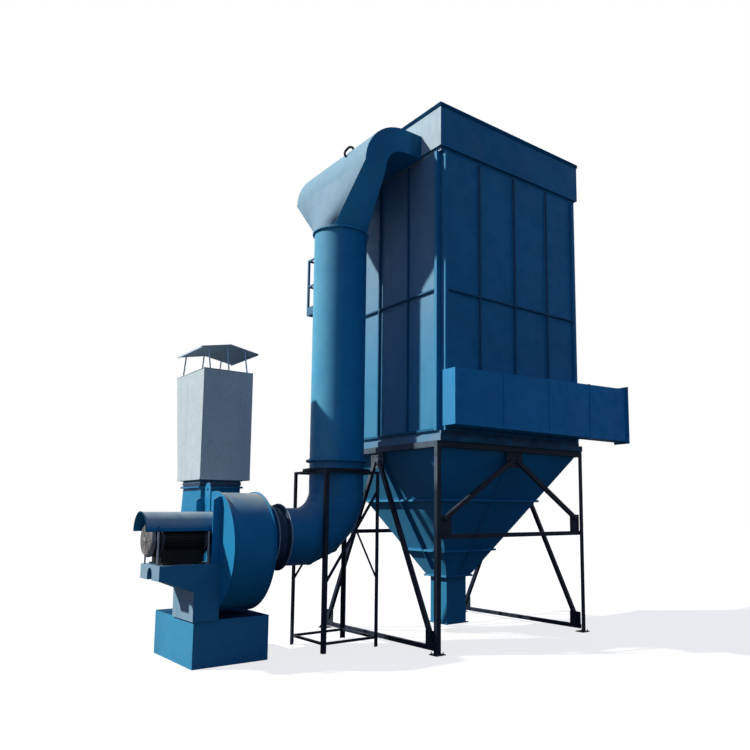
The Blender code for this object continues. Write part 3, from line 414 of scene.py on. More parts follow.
def black_steel(name, painted_light_amount=0.62):
    """Black painted sections: painted light on the sunny sides above a painted shadow line, dust on top,
    rust at joints and edges, mud low down.
    """
    black, worn_black = (0.008, 0.016, 0.032), (0.018, 0.028, 0.046)
    painted_light_tone, dusty = (0.145, 0.190, 0.240), (0.13, 0.14, 0.15)
    rusty, muddy = (0.10, 0.042, 0.022), (0.11, 0.09, 0.075)
    painted_shade_top, painted_light_bottom, mud_top = 2.00, 2.22, 0.40
    g = Graph(name, 0.5, specular=0.10)
    base = g.mix(g.step(g.noise(3.0, 4.0), 0.35, 0.7), black, worn_black)
    # Painted light: faces turned to the sun pale as if sunlit, from z 2.0 up to full at z 2.22; below, the
    # black stays, a painted shadow line.
    high = g.place(2, painted_shade_top, painted_light_bottom)
    chalk_and_painted_light = g.times(g.side(0, -0.3, -0.85), g.step(g.noise(4.0, 5.0, 0.7), 0.15, 0.7, 0.35, 1.0))
    base = g.mix(g.times(g.times(chalk_and_painted_light, high), painted_light_amount), base, painted_light_tone)
    top = g.times(g.side(2, 0.4, 0.95), g.step(g.noise(7.0, 4.0), 0.3, 0.7))
    base = g.mix(g.times(top, 0.35), base, dusty)
    rust = g.times(g.edges(), g.step(g.noise(17.0, 5.0, 0.7), 0.48, 0.6))
    base = g.mix(g.times(rust, 0.45), base, rusty)
    low = g.times(g.place(2, mud_top, 0.0), g.step(g.noise(9.0, 5.0, 0.7), 0.45, 0.7))
    g.colour(g.mix(g.times(low, 0.4), base, muddy))
    grain = g.noise(120.0, 3.0)
    g.rough(g.step(grain, 0.3, 0.7, 0.42, 0.66))
    g.bump(((grain, 0.12, 0.003), (g.noise(20.0, 3.0), 0.1, 0.004)))
    return g.mat


def zinc(name, base=(0.46, 0.54, 0.56)):
    """Weathered galvanised sheet: dull spangle, white rust and rain streaks."""
    rusty = (0.17, 0.11, 0.08)
    g = Graph(name, 0.5, metallic=0.04, specular=0.15)
    cells = g.new("TexVoronoi", {"Vector": g.coords, "Scale": 34.0})
    spangle = g.new("RGBToBW", {0: cells.outputs["Color"]}).outputs[0]
    colour = g.mix(g.step(spangle, 0.2, 0.8), tint(base, 0.93), tint(base, 1.06))
    runs = g.noise(1.0, 4.0, 0.6, (12.0, 12.0, 0.8))
    colour = g.mix(g.step(runs, 0.5, 0.75, 0.0, 0.35), colour, tint(base, 0.62))
    colour = g.mix(g.step(g.noise(2.2, 5.0, 0.7), 0.45, 0.75, 0.0, 0.4), colour, tint(base, 1.18))
    rust = g.times(g.edges(), g.step(g.noise(21.0, 4.0, 0.7), 0.52, 0.64))
    g.colour(g.mix(g.times(rust, 0.4), colour, rusty))
    g.rough(g.step(spangle, 0.1, 0.9, 0.42, 0.64))
    g.bump(((g.noise(2.2, 2.0, 0.4), 0.3, 0.015), (spangle, 0.03, 0.002)))
    return g.mat


def rubber(name):
    """Rubberised cloth, dusty on top."""
    clean, dusty, top_dust = (0.045, 0.085, 0.140), (0.080, 0.130, 0.190), (0.15, 0.18, 0.20)
    g = Graph(name, 0.8, specular=0.10)
    colour = g.mix(g.step(g.noise(6.0, 5.0, 0.7), 0.4, 0.75, 0.0, 0.5), clean, dusty)
    g.colour(g.mix(g.times(g.side(2, 0.3, 0.9), 0.6), colour, top_dust))
    fibre = g.noise(90.0, 3.0, 0.6)
    g.rough(g.step(fibre, 0.3, 0.7, 0.7, 0.92))
    g.bump(((fibre, 0.2, 0.002),))
    return g.mat


def cast_black(name):
    """Motor housing: black enamel on rough cast iron."""
    enamel, worn_enamel = (0.004, 0.007, 0.009), (0.010, 0.014, 0.017)
    oily, top_dust = (0.03, 0.027, 0.025), (0.07, 0.07, 0.07)
    g = Graph(name, 0.5, specular=0.10)
    colour = g.mix(g.step(g.noise(5.0, 4.0), 0.35, 0.7), enamel, worn_enamel)
    oil = g.step(g.noise(3.0, 5.0, 0.7, (1.0, 1.0, 2.0)), 0.5, 0.75, 0.0, 0.4)
    colour = g.mix(oil, colour, oily)
    g.colour(g.mix(g.times(g.side(2, 0.3, 0.9), 0.25), colour, top_dust))
    grain = g.noise(160.0, 3.0, 0.6)
    g.rough(g.step(grain, 0.3, 0.7, 0.38, 0.6))
    g.bump(((grain, 0.25, 0.002),))
    return g.mat


def dull_grey(name, base):
    """Old primer grey, grimy in patches."""
    g = Graph(name, 0.6, specular=0.12)
    colour = g.mix(g.step(g.noise(6.0, 5.0, 0.7), 0.35, 0.7), tint(base, 0.78), tint(base, 1.12))
    grime_and_painted_shade = g.step(g.noise(15.0, 5.0, 0.7), 0.52, 0.72, 0.0, 0.5)
    g.colour(g.mix(grime_and_painted_shade, colour, tint(base, 0.4)))
    grain = g.noise(150.0, 2.0)
    g.rough(g.step(grain, 0.3, 0.7, 0.5, 0.72))
    g.bump(((grain, 0.15, 0.002),))
    return g.mat


M_WALL = paint("wall_paint", tint(BLUE, 0.96), marks=wall_painted_light_and_shade)
M_POST = paint("post_paint")
# Its sun-side colour is dark: painted shade on the rim's faces turned to the sun.
M_RIM = paint("rim_paint", (0.008, 0.110, 0.215), (0.004, 0.020, 0.045), weather=1.0, dust=0.2, gloss=0.0)
M_RISER = paint("riser_paint", (0.014, 0.235, 0.460), (0.24, 0.54, 0.58), weather=0.40, dust=0.5)
M_BEND = paint("bend_paint", (0.014, 0.200, 0.395), (0.18, 0.38, 0.48), weather=0.40, dust=0.5)
M_MANIFOLD = paint("manifold_paint", (0.010, 0.235, 0.500), weather=0.25, dust=0.4)
# Darker than the hopper's paint, with little paling on its sun side: painted shade on the spout.
M_SPOUT = paint("spout_paint", (0.020, 0.170, 0.310), weather=0.05)
M_HOPPER = paint("hopper_paint", tint(BLUE, 1.1), weather=0.25, marks=hopper_band)
M_FAN = paint(
    "fan_paint", (0.012, 0.205, 0.395), weather=0.05, dust=1.0, dust_and_painted_shade=(0.350, 0.370, 0.345), slope=(0.45, 1.0)
)
M_COVER = paint(
    "cover_paint", (0.012, 0.190, 0.370), weather=0.05, dust=1.0, dust_and_painted_shade=(0.360, 0.420, 0.430),
    slope=(0.08, 0.55), marks=cover_stays
)
# Its top takes a dark colour: painted shade on the plinth's top.
M_PLINTH = paint(
    "plinth_paint", (0.045, 0.240, 0.400), weather=0.10, dust=0.95, dust_and_painted_shade=(0.014, 0.046, 0.095), gloss=0.0
)
M_BED = paint("bed_paint", (0.035, 0.215, 0.370), (0.30, 0.38, 0.43), weather=0.75, dust=0.7)
M_PLATFORM = paint("platform_paint", (0.060, 0.140, 0.240), weather=0.20, dust=0.5)
M_BOLT_BLUE = paint("bolt_paint", (0.012, 0.120, 0.230), weather=0.20, dust=0.3)
M_PLENUM = bleached("plenum_paint", (0.40, 0.52, 0.56), 0.95, 0.40, base=tint(BLUE, 0.84))
M_ELBOW = bleached("elbow_paint", PALE, 0.92, 0.25, marks=elbow_joint_shade)
# Brighter than the elbow's paint: painted light on the transition's plates.
M_TRANSITION = bleached("transition_paint", PALE, 0.92, 0.25, base=(0.045, 0.360, 0.640))
# Its pale colour reaches further round than the elbow's: painted light where the sun only grazes the -x
# plate.
M_PLATE = bleached("plate_paint", (0.205, 0.325, 0.410), 0.95, 0.25, reach=(-0.15, -0.35))
M_FRAME = black_steel("frame_black")
M_STAND = black_steel("stand_black", painted_light_amount=0.12)
M_ZINC = zinc("galvanised_sheet")
# Bluer than the stack's sheet: painted reflection of the blue sky on the cap's underside.
M_CAP = zinc("cap_sheet", base=(0.44, 0.56, 0.66))
M_RUBBER = rubber("sleeve_rubber")
M_MOTOR = cast_black("motor_enamel")
M_GREY = dull_grey("cowl_grey", (0.300, 0.288, 0.280))
M_BAND = dull_grey("band_grey", (0.075, 0.080, 0.095))

# Which carried-over nodes wear which material
LOOK = {
    M_WALL: "front_wall back_wall left_wall right_wall",
    M_POST: "corner_post_front_left corner_post_front_right corner_post_back_left corner_post_back_right",
    M_PLENUM: "plenum",
    M_RIM: "plenum_roof",
    M_HOPPER: "hopper",
    M_SPOUT: "discharge_spout",
    M_MANIFOLD: "inlet_manifold inlet_flange",
    M_ELBOW: "outlet_elbow",
    M_TRANSITION: "outlet_transition",
    M_RISER: "riser_duct",
    M_BEND: "lower_elbow",
    M_FAN: "fan_inlet_cone fan_scroll neck_flange tower_plate_front tower_plate_back lifting_lug",
    M_COVER: "motor_cover",
    M_PLINTH: "fan_plinth",
    M_BED: "motor_pedestal",
    M_FRAME: "leg_front_left leg_front_right leg_back_left leg_back_right ring_beam "
    "bracing_left bracing_right bracing_front bracing_back",
    M_PLATFORM: "platform_deck platform_bracket_left platform_bracket_right guard_rail",
    M_STAND: "support_ring duct_stand",
    M_ZINC: "exhaust_stack",
    M_CAP: "rain_cap",
    M_RUBBER: "flexible_connector outlet_sleeve",
    M_MOTOR: "motor",
    M_GREY: "motor_cowl",
}

# Round nodes, and the turn above which their edges stay sharp
ROUND = (
    "riser_duct lower_elbow fan_inlet_cone fan_scroll outlet_elbow motor motor_cowl motor_cover "
    "support_ring flexible_connector"
)
SHARP_TURN = math.radians(20.0)


def smooth_shading(limit):
    """Node group that joins a mesh's faces and shades them smooth, apart from the edges over the limit."""
    group = bpy.data.node_groups.new("smooth_shading", "GeometryNodeTree")
    new, link = group.nodes.new, group.links.new
    for way in ("INPUT", "OUTPUT"):
        group.interface.new_socket("Geometry", in_out=way, socket_type="NodeSocketGeometry")
    start = new("NodeGroupInput")
    merge = new("GeometryNodeMergeByDistance")
    merge.inputs["Distance"].default_value = 0.00002
    angle = new("GeometryNodeInputMeshEdgeAngle")
    sharp = new("FunctionNodeCompare")
    sharp.operation = "GREATER_THAN"
    sharp.inputs[1].default_value = limit
    shade = new("GeometryNodeSetMeshNormal")
    end = new("NodeGroupOutput")
    link(start.outputs[0], merge.inputs["Geometry"])
    link(merge.outputs["Geometry"], shade.inputs["Mesh"])
    link(angle.outputs["Unsigned Angle"], sharp.inputs[0])
    link(sharp.outputs[0], shade.inputs["Edge Sharpness"])
    link(shade.outputs[0], end.inputs[0])
    return group


def dress_nodes():
    for mat, names in LOOK.items():
        for name in names.split():
            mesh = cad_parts[name].data
            mesh.materials.clear()
            mesh.materials.append(mat)
    shading = smooth_shading(SHARP_TURN)
    for name in ROUND.split():
        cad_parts[name].modifiers.new("smooth", "NODES").node_group = shading


# Mesh pieces
class Piece:
    """Collects small closed shapes in plan axes and turns them into one object."""

    def __init__(self):
        self.bm = bmesh.new()

    def skin(self, rings, closed=False):
        """Faces between rings of points, with the two ends capped or, if closed, joined."""
        rows = [[self.bm.verts.new(p) for p in ring] for ring in rings]
        count = len(rows[0])
        pairs = list(zip(rows, rows[1:]))
        if closed:
            pairs.append((rows[-1], rows[0]))
        for low, high in pairs:
            for i in range(count):
                j = (i + 1) % count
                self.bm.faces.new((low[i], low[j], high[j], high[i]))
        if not closed:
            self.bm.faces.new(list(reversed(rows[0])))
            self.bm.faces.new(rows[-1])

    def turned(self, centre, axis, profile, count=16, closed=False):
        """Revolve (distance along axis, radius) pairs about an axis."""
        centre = Vector(centre)
        axis = Vector(axis).normalized()
        rings = [ring_points(centre + axis * t, axis, r, count) for t, r in profile]
        self.skin(rings, closed=closed)

    def bolt(self, centre, axis, r, h):
        """Hexagon head on a washer."""
        self.turned(centre, axis, ((0.0, r * 1.45), (h * 0.25, r * 1.45)), 12)
        self.turned(centre, axis, ((h * 0.2, r), (h * 0.85, r), (h, r * 0.86)), 6)

    def block(self, x0, x1, y0, y1, z0, z1):
        ring = [(x0, y0), (x1, y0), (x1, y1), (x0, y1)]
        self.skin([[(x, y, z) for x, y in ring] for z in (z0, z1)])

    def bar(self, p0, p1, across, width, depth):
        """Flat bar between two points, with its depth along across."""
        p0, p1 = Vector(p0), Vector(p1)
        across = Vector(across).normalized()
        side = (p1 - p0).normalized().cross(across).normalized()
        rings = []
        for p in (p0, p1):
            ring = []
            for a, b in ((-1, -1), (1, -1), (1, 1), (-1, 1)):
                ring.append(p + side * (a * width / 2) + across * (b * depth / 2))
            rings.append(ring)
        self.skin(rings)

    def tube(self, points, r, count=8, closed=False):
        """Round tube along a line, for welds, rods and rolled edges."""
        points = [Vector(p) for p in points]
        n = len(points)
        rings = []
        up = None
        for i, p in enumerate(points):
            a = points[i - 1] if i or closed else p
            b = points[(i + 1) % n] if i < n - 1 or closed else p
            run = (b - a).normalized()
            if up is None:
                up = run.orthogonal().normalized()
            up = (up - run * up.dot(run)).normalized()
            side = run.cross(up)
            ring = []
            for k in range(count):
                t = 2 * math.pi * k / count
                ring.append(p + up * (r * math.cos(t)) + side * (r * math.sin(t)))
            rings.append(ring)
        self.skin(rings, closed=closed)

    def done(self, name, mat, smooth=35, bevel=0.0):
        """Make the object: edges that turn by more than smooth degrees stay sharp."""
        bmesh.ops.recalc_face_normals(self.bm, faces=self.bm.faces)
        mesh = bpy.data.meshes.new(name)
        self.bm.to_mesh(mesh)
        self.bm.free()
        mesh.transform(Matrix.Translation(SHIFT))
        for poly in mesh.polygons:
            poly.use_smooth = True
        mesh.set_sharp_from_angle(angle=math.radians(smooth))
        mesh.materials.append(mat)
        obj = bpy.data.objects.new(name, mesh)
        bpy.context.scene.collection.objects.link(obj)
        if bevel:
            mod = obj.modifiers.new("bevel", "BEVEL")
            mod.width = bevel
            mod.segments = 2
            mod.limit_method = "ANGLE"
        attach(obj, "root")
        return obj


def ring_points(centre, axis, r, count, start=0.0):
    """Points round a circle about an axis."""
    axis = Vector(axis).normalized()
    side = axis.orthogonal().normalized()
    up = axis.cross(side)
    points = []
    for i in range(count):
        a = start + 2 * math.pi * i / count
        points.append(Vector(centre) + side * (r * math.cos(a)) + up * (r * math.sin(a)))
    return points


def rect_points(x0, x1, y0, y1, pitch):
    """Points round a rectangle at about one pitch, corners included."""
    points = []
    nx = max(1, round((x1 - x0) / pitch))
    ny = max(1, round((y1 - y0) / pitch))
    for i in range(nx):
        t = i / nx
        points.append((x0 + (x1 - x0) * t, y0))
        points.append((x1 - (x1 - x0) * t, y1))
    for i in range(ny):
        t = i / ny
        points.append((x1, y0 + (y1 - y0) * t))
        points.append((x0, y1 - (y1 - y0) * t))
    return points


def around(angle):
    """Unit vector in the y-z plane, at an angle from the y axis."""
    return Vector((0, math.cos(angle), math.sin(angle)))


WELD_R = 0.005
SEAM_SMOOTH = 60


def duct_flange_bolts():
    """Bolt circles of the round ducts, from both sides of each pair of flanges."""
    count = 24
    small, large, cone = 0.0065, 0.010, 0.009
    top_r, wide_r, cone_r = RISER_R + 0.015, RISER_R + 0.027, INLET_CONE_D / 2 + 0.022
    p = Piece()
    for centre, axis, r, size in (
        ((RISER_X, RISER_Y, RISER_TOP + GAP + FLANGE_T), UP, top_r, small),
        ((RISER_X, RISER_Y, RISER_TOP - FLANGE_T), DOWN, top_r, small),
        ((RISER_X, RISER_Y, RISER_BOTTOM + FLANGE_T), UP, wide_r, large),
        ((RISER_X, RISER_Y, RISER_BOTTOM - GAP - FLANGE_T), DOWN, wide_r, large),
        ((ELBOW_END_X + FLANGE_T, RISER_Y, FAN_Z), RIGHT, wide_r, large),
        ((CONE_X - FLANGE_T, RISER_Y, FAN_Z), LEFT, wide_r, large),
        ((SCROLL_X1 + GAP + FLANGE_T, RISER_Y, FAN_Z), RIGHT, cone_r, cone),
    ):
        for point in ring_points(centre, axis, r, count, math.pi / count):
            p.bolt(point, axis, size, size * 0.9)
    p.done("duct_flange_bolts", M_BOLT_BLUE)


def square_flange_bolts():
    """Bolts of the square flanges: sleeve, manifold end, hopper outlet and spout."""
    p = Piece()
    out, r, h, pitch = 0.017, 0.0075, 0.007, 0.11
    for x, y in rect_points(SCROLL_X0 - out, SCROLL_X1 + out, NECK_Y0 - out, NECK_Y1 + out, pitch):
        p.bolt((x, y, NECK_Z + NECK_FLANGE_T + GAP + SLEEVE_FLANGE_T), UP, r, h)
        p.bolt((x, y, STACK_Z - SLEEVE_FLANGE_T), DOWN, r, h)
    out, r, h, pitch = 0.018, 0.009, 0.008, 0.12
    inner = -RIB_OUT - GAP - 0.02
    top = MANIFOLD_Z + MANIFOLD_H + MANIFOLD_RISE
    for y, z in rect_points(-MANIFOLD_D - out, inner, MANIFOLD_Z - out, top + out, pitch):
        p.bolt((X_MAX, y, z), RIGHT, r, h)
        p.bolt((MANIFOLD_END - GAP - INLET_FLANGE_T, y, z), LEFT, r, h)
    half = OUTLET_W / 2 + out
    for x, y in rect_points(OUTLET_X - half, OUTLET_X + half, RISER_Y - half, RISER_Y + half, half / 2):
        p.bolt((x, y, OUTLET_Z + SPOUT_FLANGE_T), UP, r, h)
        p.bolt((x, y, OUTLET_Z - GAP - SPOUT_FLANGE_T), DOWN, r, h)
    half, r, h, pitch = SPOUT_W / 2 + 0.015, 0.007, 0.007, 0.137
    for x, y in rect_points(OUTLET_X - half, OUTLET_X + half, RISER_Y - half, RISER_Y + half, pitch):
        p.bolt((x, y, SPOUT_Z + SPOUT_FLANGE_T), UP, r, h)
    p.done("square_flange_bolts", M_BOLT_BLUE)


def duct_welds():
    """Seams between the lower elbow's gores."""
    points = 48
    gore = math.pi / 2 / (ELBOW_GORES - 1)
    bend_x, bend_z = RISER_X - ELBOW_R, FAN_Z + ELBOW_R
    r = RISER_R + 0.001
    stretch = math.cos(gore / 2)
    p = Piece()
    for k in range(ELBOW_GORES - 1):
        theta = gore * (k + 0.5)
        line = []
        for i in range(points):
            a = 2 * math.pi * i / points
            d = (ELBOW_R + r * math.cos(a)) / stretch
            y = RISER_Y + r * math.sin(a)
            line.append((bend_x + d * math.cos(theta), y, bend_z - d * math.sin(theta)))
        p.tube(line, WELD_R, 6, closed=True)
    p.done("duct_welds", M_BEND, smooth=SEAM_SMOOTH)


def hopper_welds():
    """Seams down the hopper's four corners."""
    low = OUTLET_W / 2
    grow_x = HOUSING_X / 2 + BEAM_OUT_X - RING_BEAM_W - HOPPER_CLEAR - low
    grow_y = HOUSING_Y / 2 - RING_BEAM_W - HOPPER_CLEAR - low
    p = Piece()
    for ux, uy in ((-1, -1), (1, -1), (1, 1), (-1, 1)):
        line = []
        for t in (0.02, 0.35, 0.7, 0.99):
            x = OUTLET_X + OUTLET_SHIFT * t + ux * (low + grow_x * t)
            line.append((x, RISER_Y + uy * (low + grow_y * t), OUTLET_Z + PYRAMID_H * t))
        p.tube(line, WELD_R, 6)
    p.done("hopper_welds", M_HOPPER, smooth=SEAM_SMOOTH)


def scroll_line(grow, x):
    """The scroll's outline, grown outwards: up to the neck, round the spiral and up the other side."""
    steps = 56
    whole = 1.5 * math.pi
    k = math.log(SCROLL_R1 / SCROLL_R0) / whole
    start = -math.asin((CUTOFF_Y - grow) / (SCROLL_R0 + grow))
    neck = NECK_Z - 0.005
    line = [(x, NECK_Y0 - grow, neck)]
    for i in range(steps + 1):
        phi = start + (whole - start) * i / steps
        r = SCROLL_R0 * math.exp(k * max(phi, 0.0)) + grow
        line.append((x, RISER_Y - r * math.sin(phi), FAN_Z + r * math.cos(phi)))
    line.append((x, NECK_Y1 + grow, neck))
    return line


def scroll_welds():
    inside = SCROLL_PLATE_T + 0.0015
    p = Piece()
    for x in (SCROLL_X0 + inside, SCROLL_X1 - inside):
        p.tube(scroll_line(0.002, x), WELD_R, 6)
    p.done("scroll_welds", M_FAN, smooth=SEAM_SMOOTH)


def motor_fins():
    """Cooling fins round the motor, none over its feet, and the eye bolt."""
    count, half, root, height, end_height = 44, 0.0025, 0.004, 0.016, 0.006
    fin_x0, fin_x1, taper = MOTOR_X0 + 0.105, MOTOR_X1 - 0.070, 0.015
    p = Piece()
    for i in range(count):
        a = 2 * math.pi * i / count
        if abs(math.sin(a) + 1) < 0.16:
            continue
        out = around(a)
        base = Vector((0, RISER_Y, FAN_Z)) + out * (MOTOR_R - root)
        tip = Vector((0, RISER_Y, FAN_Z)) + out * (MOTOR_R + height)
        end = base + out * end_height
        width = out.cross(Vector(RIGHT)) * half
        rings = []
        for x, top in ((fin_x0, end), (fin_x0 + taper, tip), (fin_x1 - taper, tip), (fin_x1, end)):
            low, high = base + Vector((x, 0, 0)), top + Vector((x, 0, 0))
            rings.append([low - width, low + width, high + width * 0.6, high - width * 0.6])
        p.skin(rings)
    p.turned((MOTOR_X0 + 0.16, RISER_Y, FAN_Z + MOTOR_R), UP, ((-0.01, 0.02), (0.012, 0.02), (0.016, 0.012)))
    p.done("motor_fins", M_MOTOR)


def motor_end_rings():
    """The two end shields' rims with their screws."""
    low, high, chamfer = MOTOR_R - 0.004, MOTOR_R + 0.014, 0.004
    screws, screw, turn = 8, 0.006, 0.39
    far, near = (MOTOR_X0 + 0.072, MOTOR_X0 + 0.098), (MOTOR_X1 - 0.064, MOTOR_X1 - 0.036)
    p = Piece()
    for x0, x1 in (far, near):
        wide = x1 - x0
        start = ((0.0, low), (0.0, high - chamfer), (chamfer, high))
        profile = start + ((wide - chamfer, high), (wide, high - chamfer), (wide, low))
        p.turned((x0, RISER_Y, FAN_Z), RIGHT, profile, 48, closed=True)
    for x, axis in ((far[0], LEFT), (near[1], RIGHT)):
        for point in ring_points((x, RISER_Y, FAN_Z), RIGHT, MOTOR_R + 0.004, screws, turn):
            p.bolt(point, axis, screw, screw)
    p.done("motor_end_rings", M_BAND)


def cowl_grille():
    """Rings, spokes and hub in front of the cowl's end, and the cowl's screws."""
    rings_x, spokes_x, screws_x = COWL_X0 - 0.006, COWL_X0 - 0.004, COWL_X0 + 0.03
    wire, spokes, spoke, screws, screw, turn = 0.0028, 8, 0.003, 4, 0.006, 0.78
    p = Piece()
    for r in (0.045, 0.075, 0.105, 0.135, 0.163):
        p.tube(ring_points((rings_x, RISER_Y, FAN_Z), RIGHT, r, 40), wire, 6, closed=True)
    for i in range(spokes):
        out = around(2 * math.pi * i / spokes)
        centre = Vector((spokes_x, RISER_Y, FAN_Z))
        p.tube([centre + out * 0.02, centre + out * 0.168], spoke, 6)
    p.turned((COWL_X0, RISER_Y, FAN_Z), LEFT, ((-0.004, 0.034), (0.008, 0.034), (0.013, 0.026)), 24)
    centre = Vector((screws_x, RISER_Y, FAN_Z))
    for point in ring_points(centre, RIGHT, COWL_R - 0.002, screws, turn):
        p.bolt(point, (point - centre).normalized(), screw, screw)
    p.done("cowl_grille", M_GREY)


def motor_foot_pads():
    out, half = 0.2, 0.045
    p = Piece()
    for x in FEET_X:
        for side in SIDES:
            y = RISER_Y + side * out
            p.block(x - half, x + half, y - half, y + half, BED_Z + GAP, FOOT_TOP)
    p.done("motor_foot_pads", M_MOTOR, bevel=0.004)


def motor_bolts():
    """Bolts of the motor's feet, and of the cover on its four stays."""
    foot, stay_r, stay_h = 0.011, 0.0055, 0.005
    p = Piece()
    for x in FEET_X:
        for side in SIDES:
            p.bolt((x, RISER_Y + side * 0.215, FOOT_TOP), UP, foot, foot)
    for x in (MOTOR_X0 + 0.02, MOTOR_X1 - 0.03):
        for side in SIDES:
            for z in (COVER_Z + 0.05, COVER_Z + 0.015):
                p.bolt((x, RISER_Y + side * (COVER_R + 0.0005), z), (0, side, 0), stay_r, stay_h)
    p.done("motor_bolts", M_BAND)


def cover_rims():
    """Rolled rims of the weather cover."""
    steps, rim = 24, 0.0055
    arc_r, side_r = COVER_R + 0.001, COVER_R + 0.0005
    ends = (COVER_X0 + 0.003, SCROLL_X0 - 0.006)
    p = Piece()
    for x in ends:
        centre = Vector((x, RISER_Y, COVER_Z))
        p.tube([centre + around(math.pi * i / steps) * arc_r for i in range(steps + 1)], rim)
    for side in SIDES:
        p.tube([(x, RISER_Y + side * side_r, COVER_Z) for x in ends], rim)
    p.done("cover_rims", M_RIM, smooth=SEAM_SMOOTH)


def connector_folds():
    """Folds of the flexible connector, highest in the middle."""
    middle, pitch, cord = ELBOW_END_X - CONNECTOR_L / 2, 0.020, 0.006
    p = Piece()
    for k, painted_shade_ribs in ((-2, 0.001), (-1, 0.011), (0, 0.019), (1, 0.011), (2, 0.001)):
        centre = (middle + k * pitch, RISER_Y, FAN_Z)
        p.tube(ring_points(centre, RIGHT, RISER_R + painted_shade_ribs, 64), cord, closed=True)
    p.done("connector_folds", M_RUBBER, smooth=SEAM_SMOOTH)


def flange_highlight_rings():
    """Pale rings on the edges of the two flanges at the flexible connector: painted highlight."""
    edge, r = 0.0055, RISER_R + FLANGE_OUT + 0.0005
    p = Piece()
    for x in (ELBOW_END_X + 0.0058, CONE_X - 0.0062):
        p.tube(ring_points((x, RISER_Y, FAN_Z), RIGHT, r, 64), edge, 6, closed=True)
    p.done("flange_highlight_rings", M_ZINC, smooth=SEAM_SMOOTH)


def transition_plates():
    """Outlet transition: four bent plates that meet in creases, and the round flange below them."""
    columns, rows = 12, 12
    x1, y_mid = TOP_ELBOW_X - TOP_ELBOW_IN, RISER_Y + TOP_ELBOW_SHIFT
    x0, y0, y1 = x1 - TOP_ELBOW_T, y_mid - TOP_ELBOW_W / 2, y_mid + TOP_ELBOW_W / 2
    corners = ((x0, y0), (x1, y0), (x1, y1), (x0, y1))
    flange_z = RISER_TOP + GAP
    foot, low, high = RISER_TOP + 0.006, flange_z + FLANGE_T + 0.02, TOP_ELBOW_Z - GAP
    rings = []
    for row in range(-1, rows + 1):
        t = max(row, 0) / rows
        z = foot if row < 0 else low + (high - low) * t
        ring = []
        for k in range(4):
            (xa, ya), (xb, yb) = corners[k], corners[(k + 1) % 4]
            for i in range(columns):
                u = i / columns
                a = math.radians(225.0 + 90.0 * (k + u))
                x = (RISER_X + RISER_R * math.cos(a)) * (1 - t) + (xa + (xb - xa) * u) * t
                y = (RISER_Y + RISER_R * math.sin(a)) * (1 - t) + (ya + (yb - ya) * u) * t
                ring.append((x, y, z))
        rings.append(ring)
    p = Piece()
    p.skin(rings)
    p.bm.faces.ensure_lookup_table()
    # The plate on the -x side takes the second material, M_PLATE, whose pale colour reaches round its
    # corners as painted light.
    for i in range(4 * columns * (rows + 1)):
        if i % (4 * columns) >= 3 * columns:
            p.bm.faces[i].material_index = 1
    flange_r = RISER_R + TOP_FLANGE_OUT
    p.turned((RISER_X, RISER_Y, flange_z), UP, ((0.0, flange_r), (FLANGE_T, flange_r)), 64)
    for k in range(4):
        p.tube([rings[1][k * columns], rings[-1][k * columns]], WELD_R)
    transition = p.done("transition_plates", M_TRANSITION, smooth=20)
    transition.data.materials.append(M_PLATE)
    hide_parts("outlet_transition")


def stand_frame():
    """Duct stand: four angle posts, rails at top and bottom, and thin braces below the elbow."""
    leg, thick, rail = 0.055, 0.005, STAND_POST * 0.8
    half_x = RISER_R + STAND_CLEAR + STAND_POST
    half_y = half_x + STAND_SIDE
    post_x = (RISER_X - half_x, RISER_X + half_x)
    post_y = (RISER_Y - half_y, RISER_Y + half_y)
    angle = [(0, 0), (leg, 0), (leg, thick), (thick, thick), (thick, leg), (0, leg)]
    end, inset = 0.006, 0.022
    p = Piece()
    for x, sx in zip(post_x, (1, -1)):
        for y, sy in zip(post_y, (1, -1)):
            p.skin([[(x + sx * a, y + sy * b, z) for a, b in angle] for z in (0.0, STAND_TOP)])
    for y, sy in zip(post_y, (1, -1)):
        at = y + sy * inset
        for z in (STAND_RAIL_Z, STAND_TOP - rail / 2):
            p.bar((post_x[0] + end, at, z), (post_x[1] - end, at, z), UP, rail, rail)
    for x, sx in zip(post_x, (1, -1)):
        at = x + sx * inset
        for z in (STAND_RAIL_Z, STAND_TOP - rail / 2):
            p.bar((at, post_y[0] + end, z), (at, post_y[1] - end, z), UP, rail, rail)
    left, right = post_x[0] + 0.023, post_x[1] - 0.023
    front, back = post_y[0] + 0.012, post_y[1] - 0.012
    low, high, strip = 0.86, 2.05, 0.010
    knee, meet_x, meet_z = 0.88, -0.640, 1.54
    for a, b, width in (
        ((left, front, low), (right, front, high), 0.040),
        ((right, front, knee), (meet_x, front, meet_z), 0.026),
        ((left, back, low), (right, back, high), 0.030),
    ):
        p.bar(a, b, BACK, width, strip)
    stand = p.done("stand_frame", M_STAND, bevel=0.0015)
    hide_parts("duct_stand")


def elbow_lug():
    """Staple-shaped lifting lug on the flat elbow's outer bend: degrees round the bend, metres off it."""
    angles = (134, 134, 136, 139, 146, 149, 151, 151)
    heights = (-0.01, 0.025, 0.045, 0.055, 0.055, 0.045, 0.025, -0.01)
    rod = 0.017
    lug_y = RISER_Y - 0.40
    line = []
    for angle, out in zip(angles, heights):
        a = math.radians(angle)
        r = TOP_ELBOW_R + out
        line.append((TOP_ELBOW_X + r * math.cos(a), lug_y, TOP_ELBOW_Z + r * math.sin(a)))
    p = Piece()
    p.tube(line, rod, 10)
    p.done("elbow_lug", M_STAND, smooth=SEAM_SMOOTH)


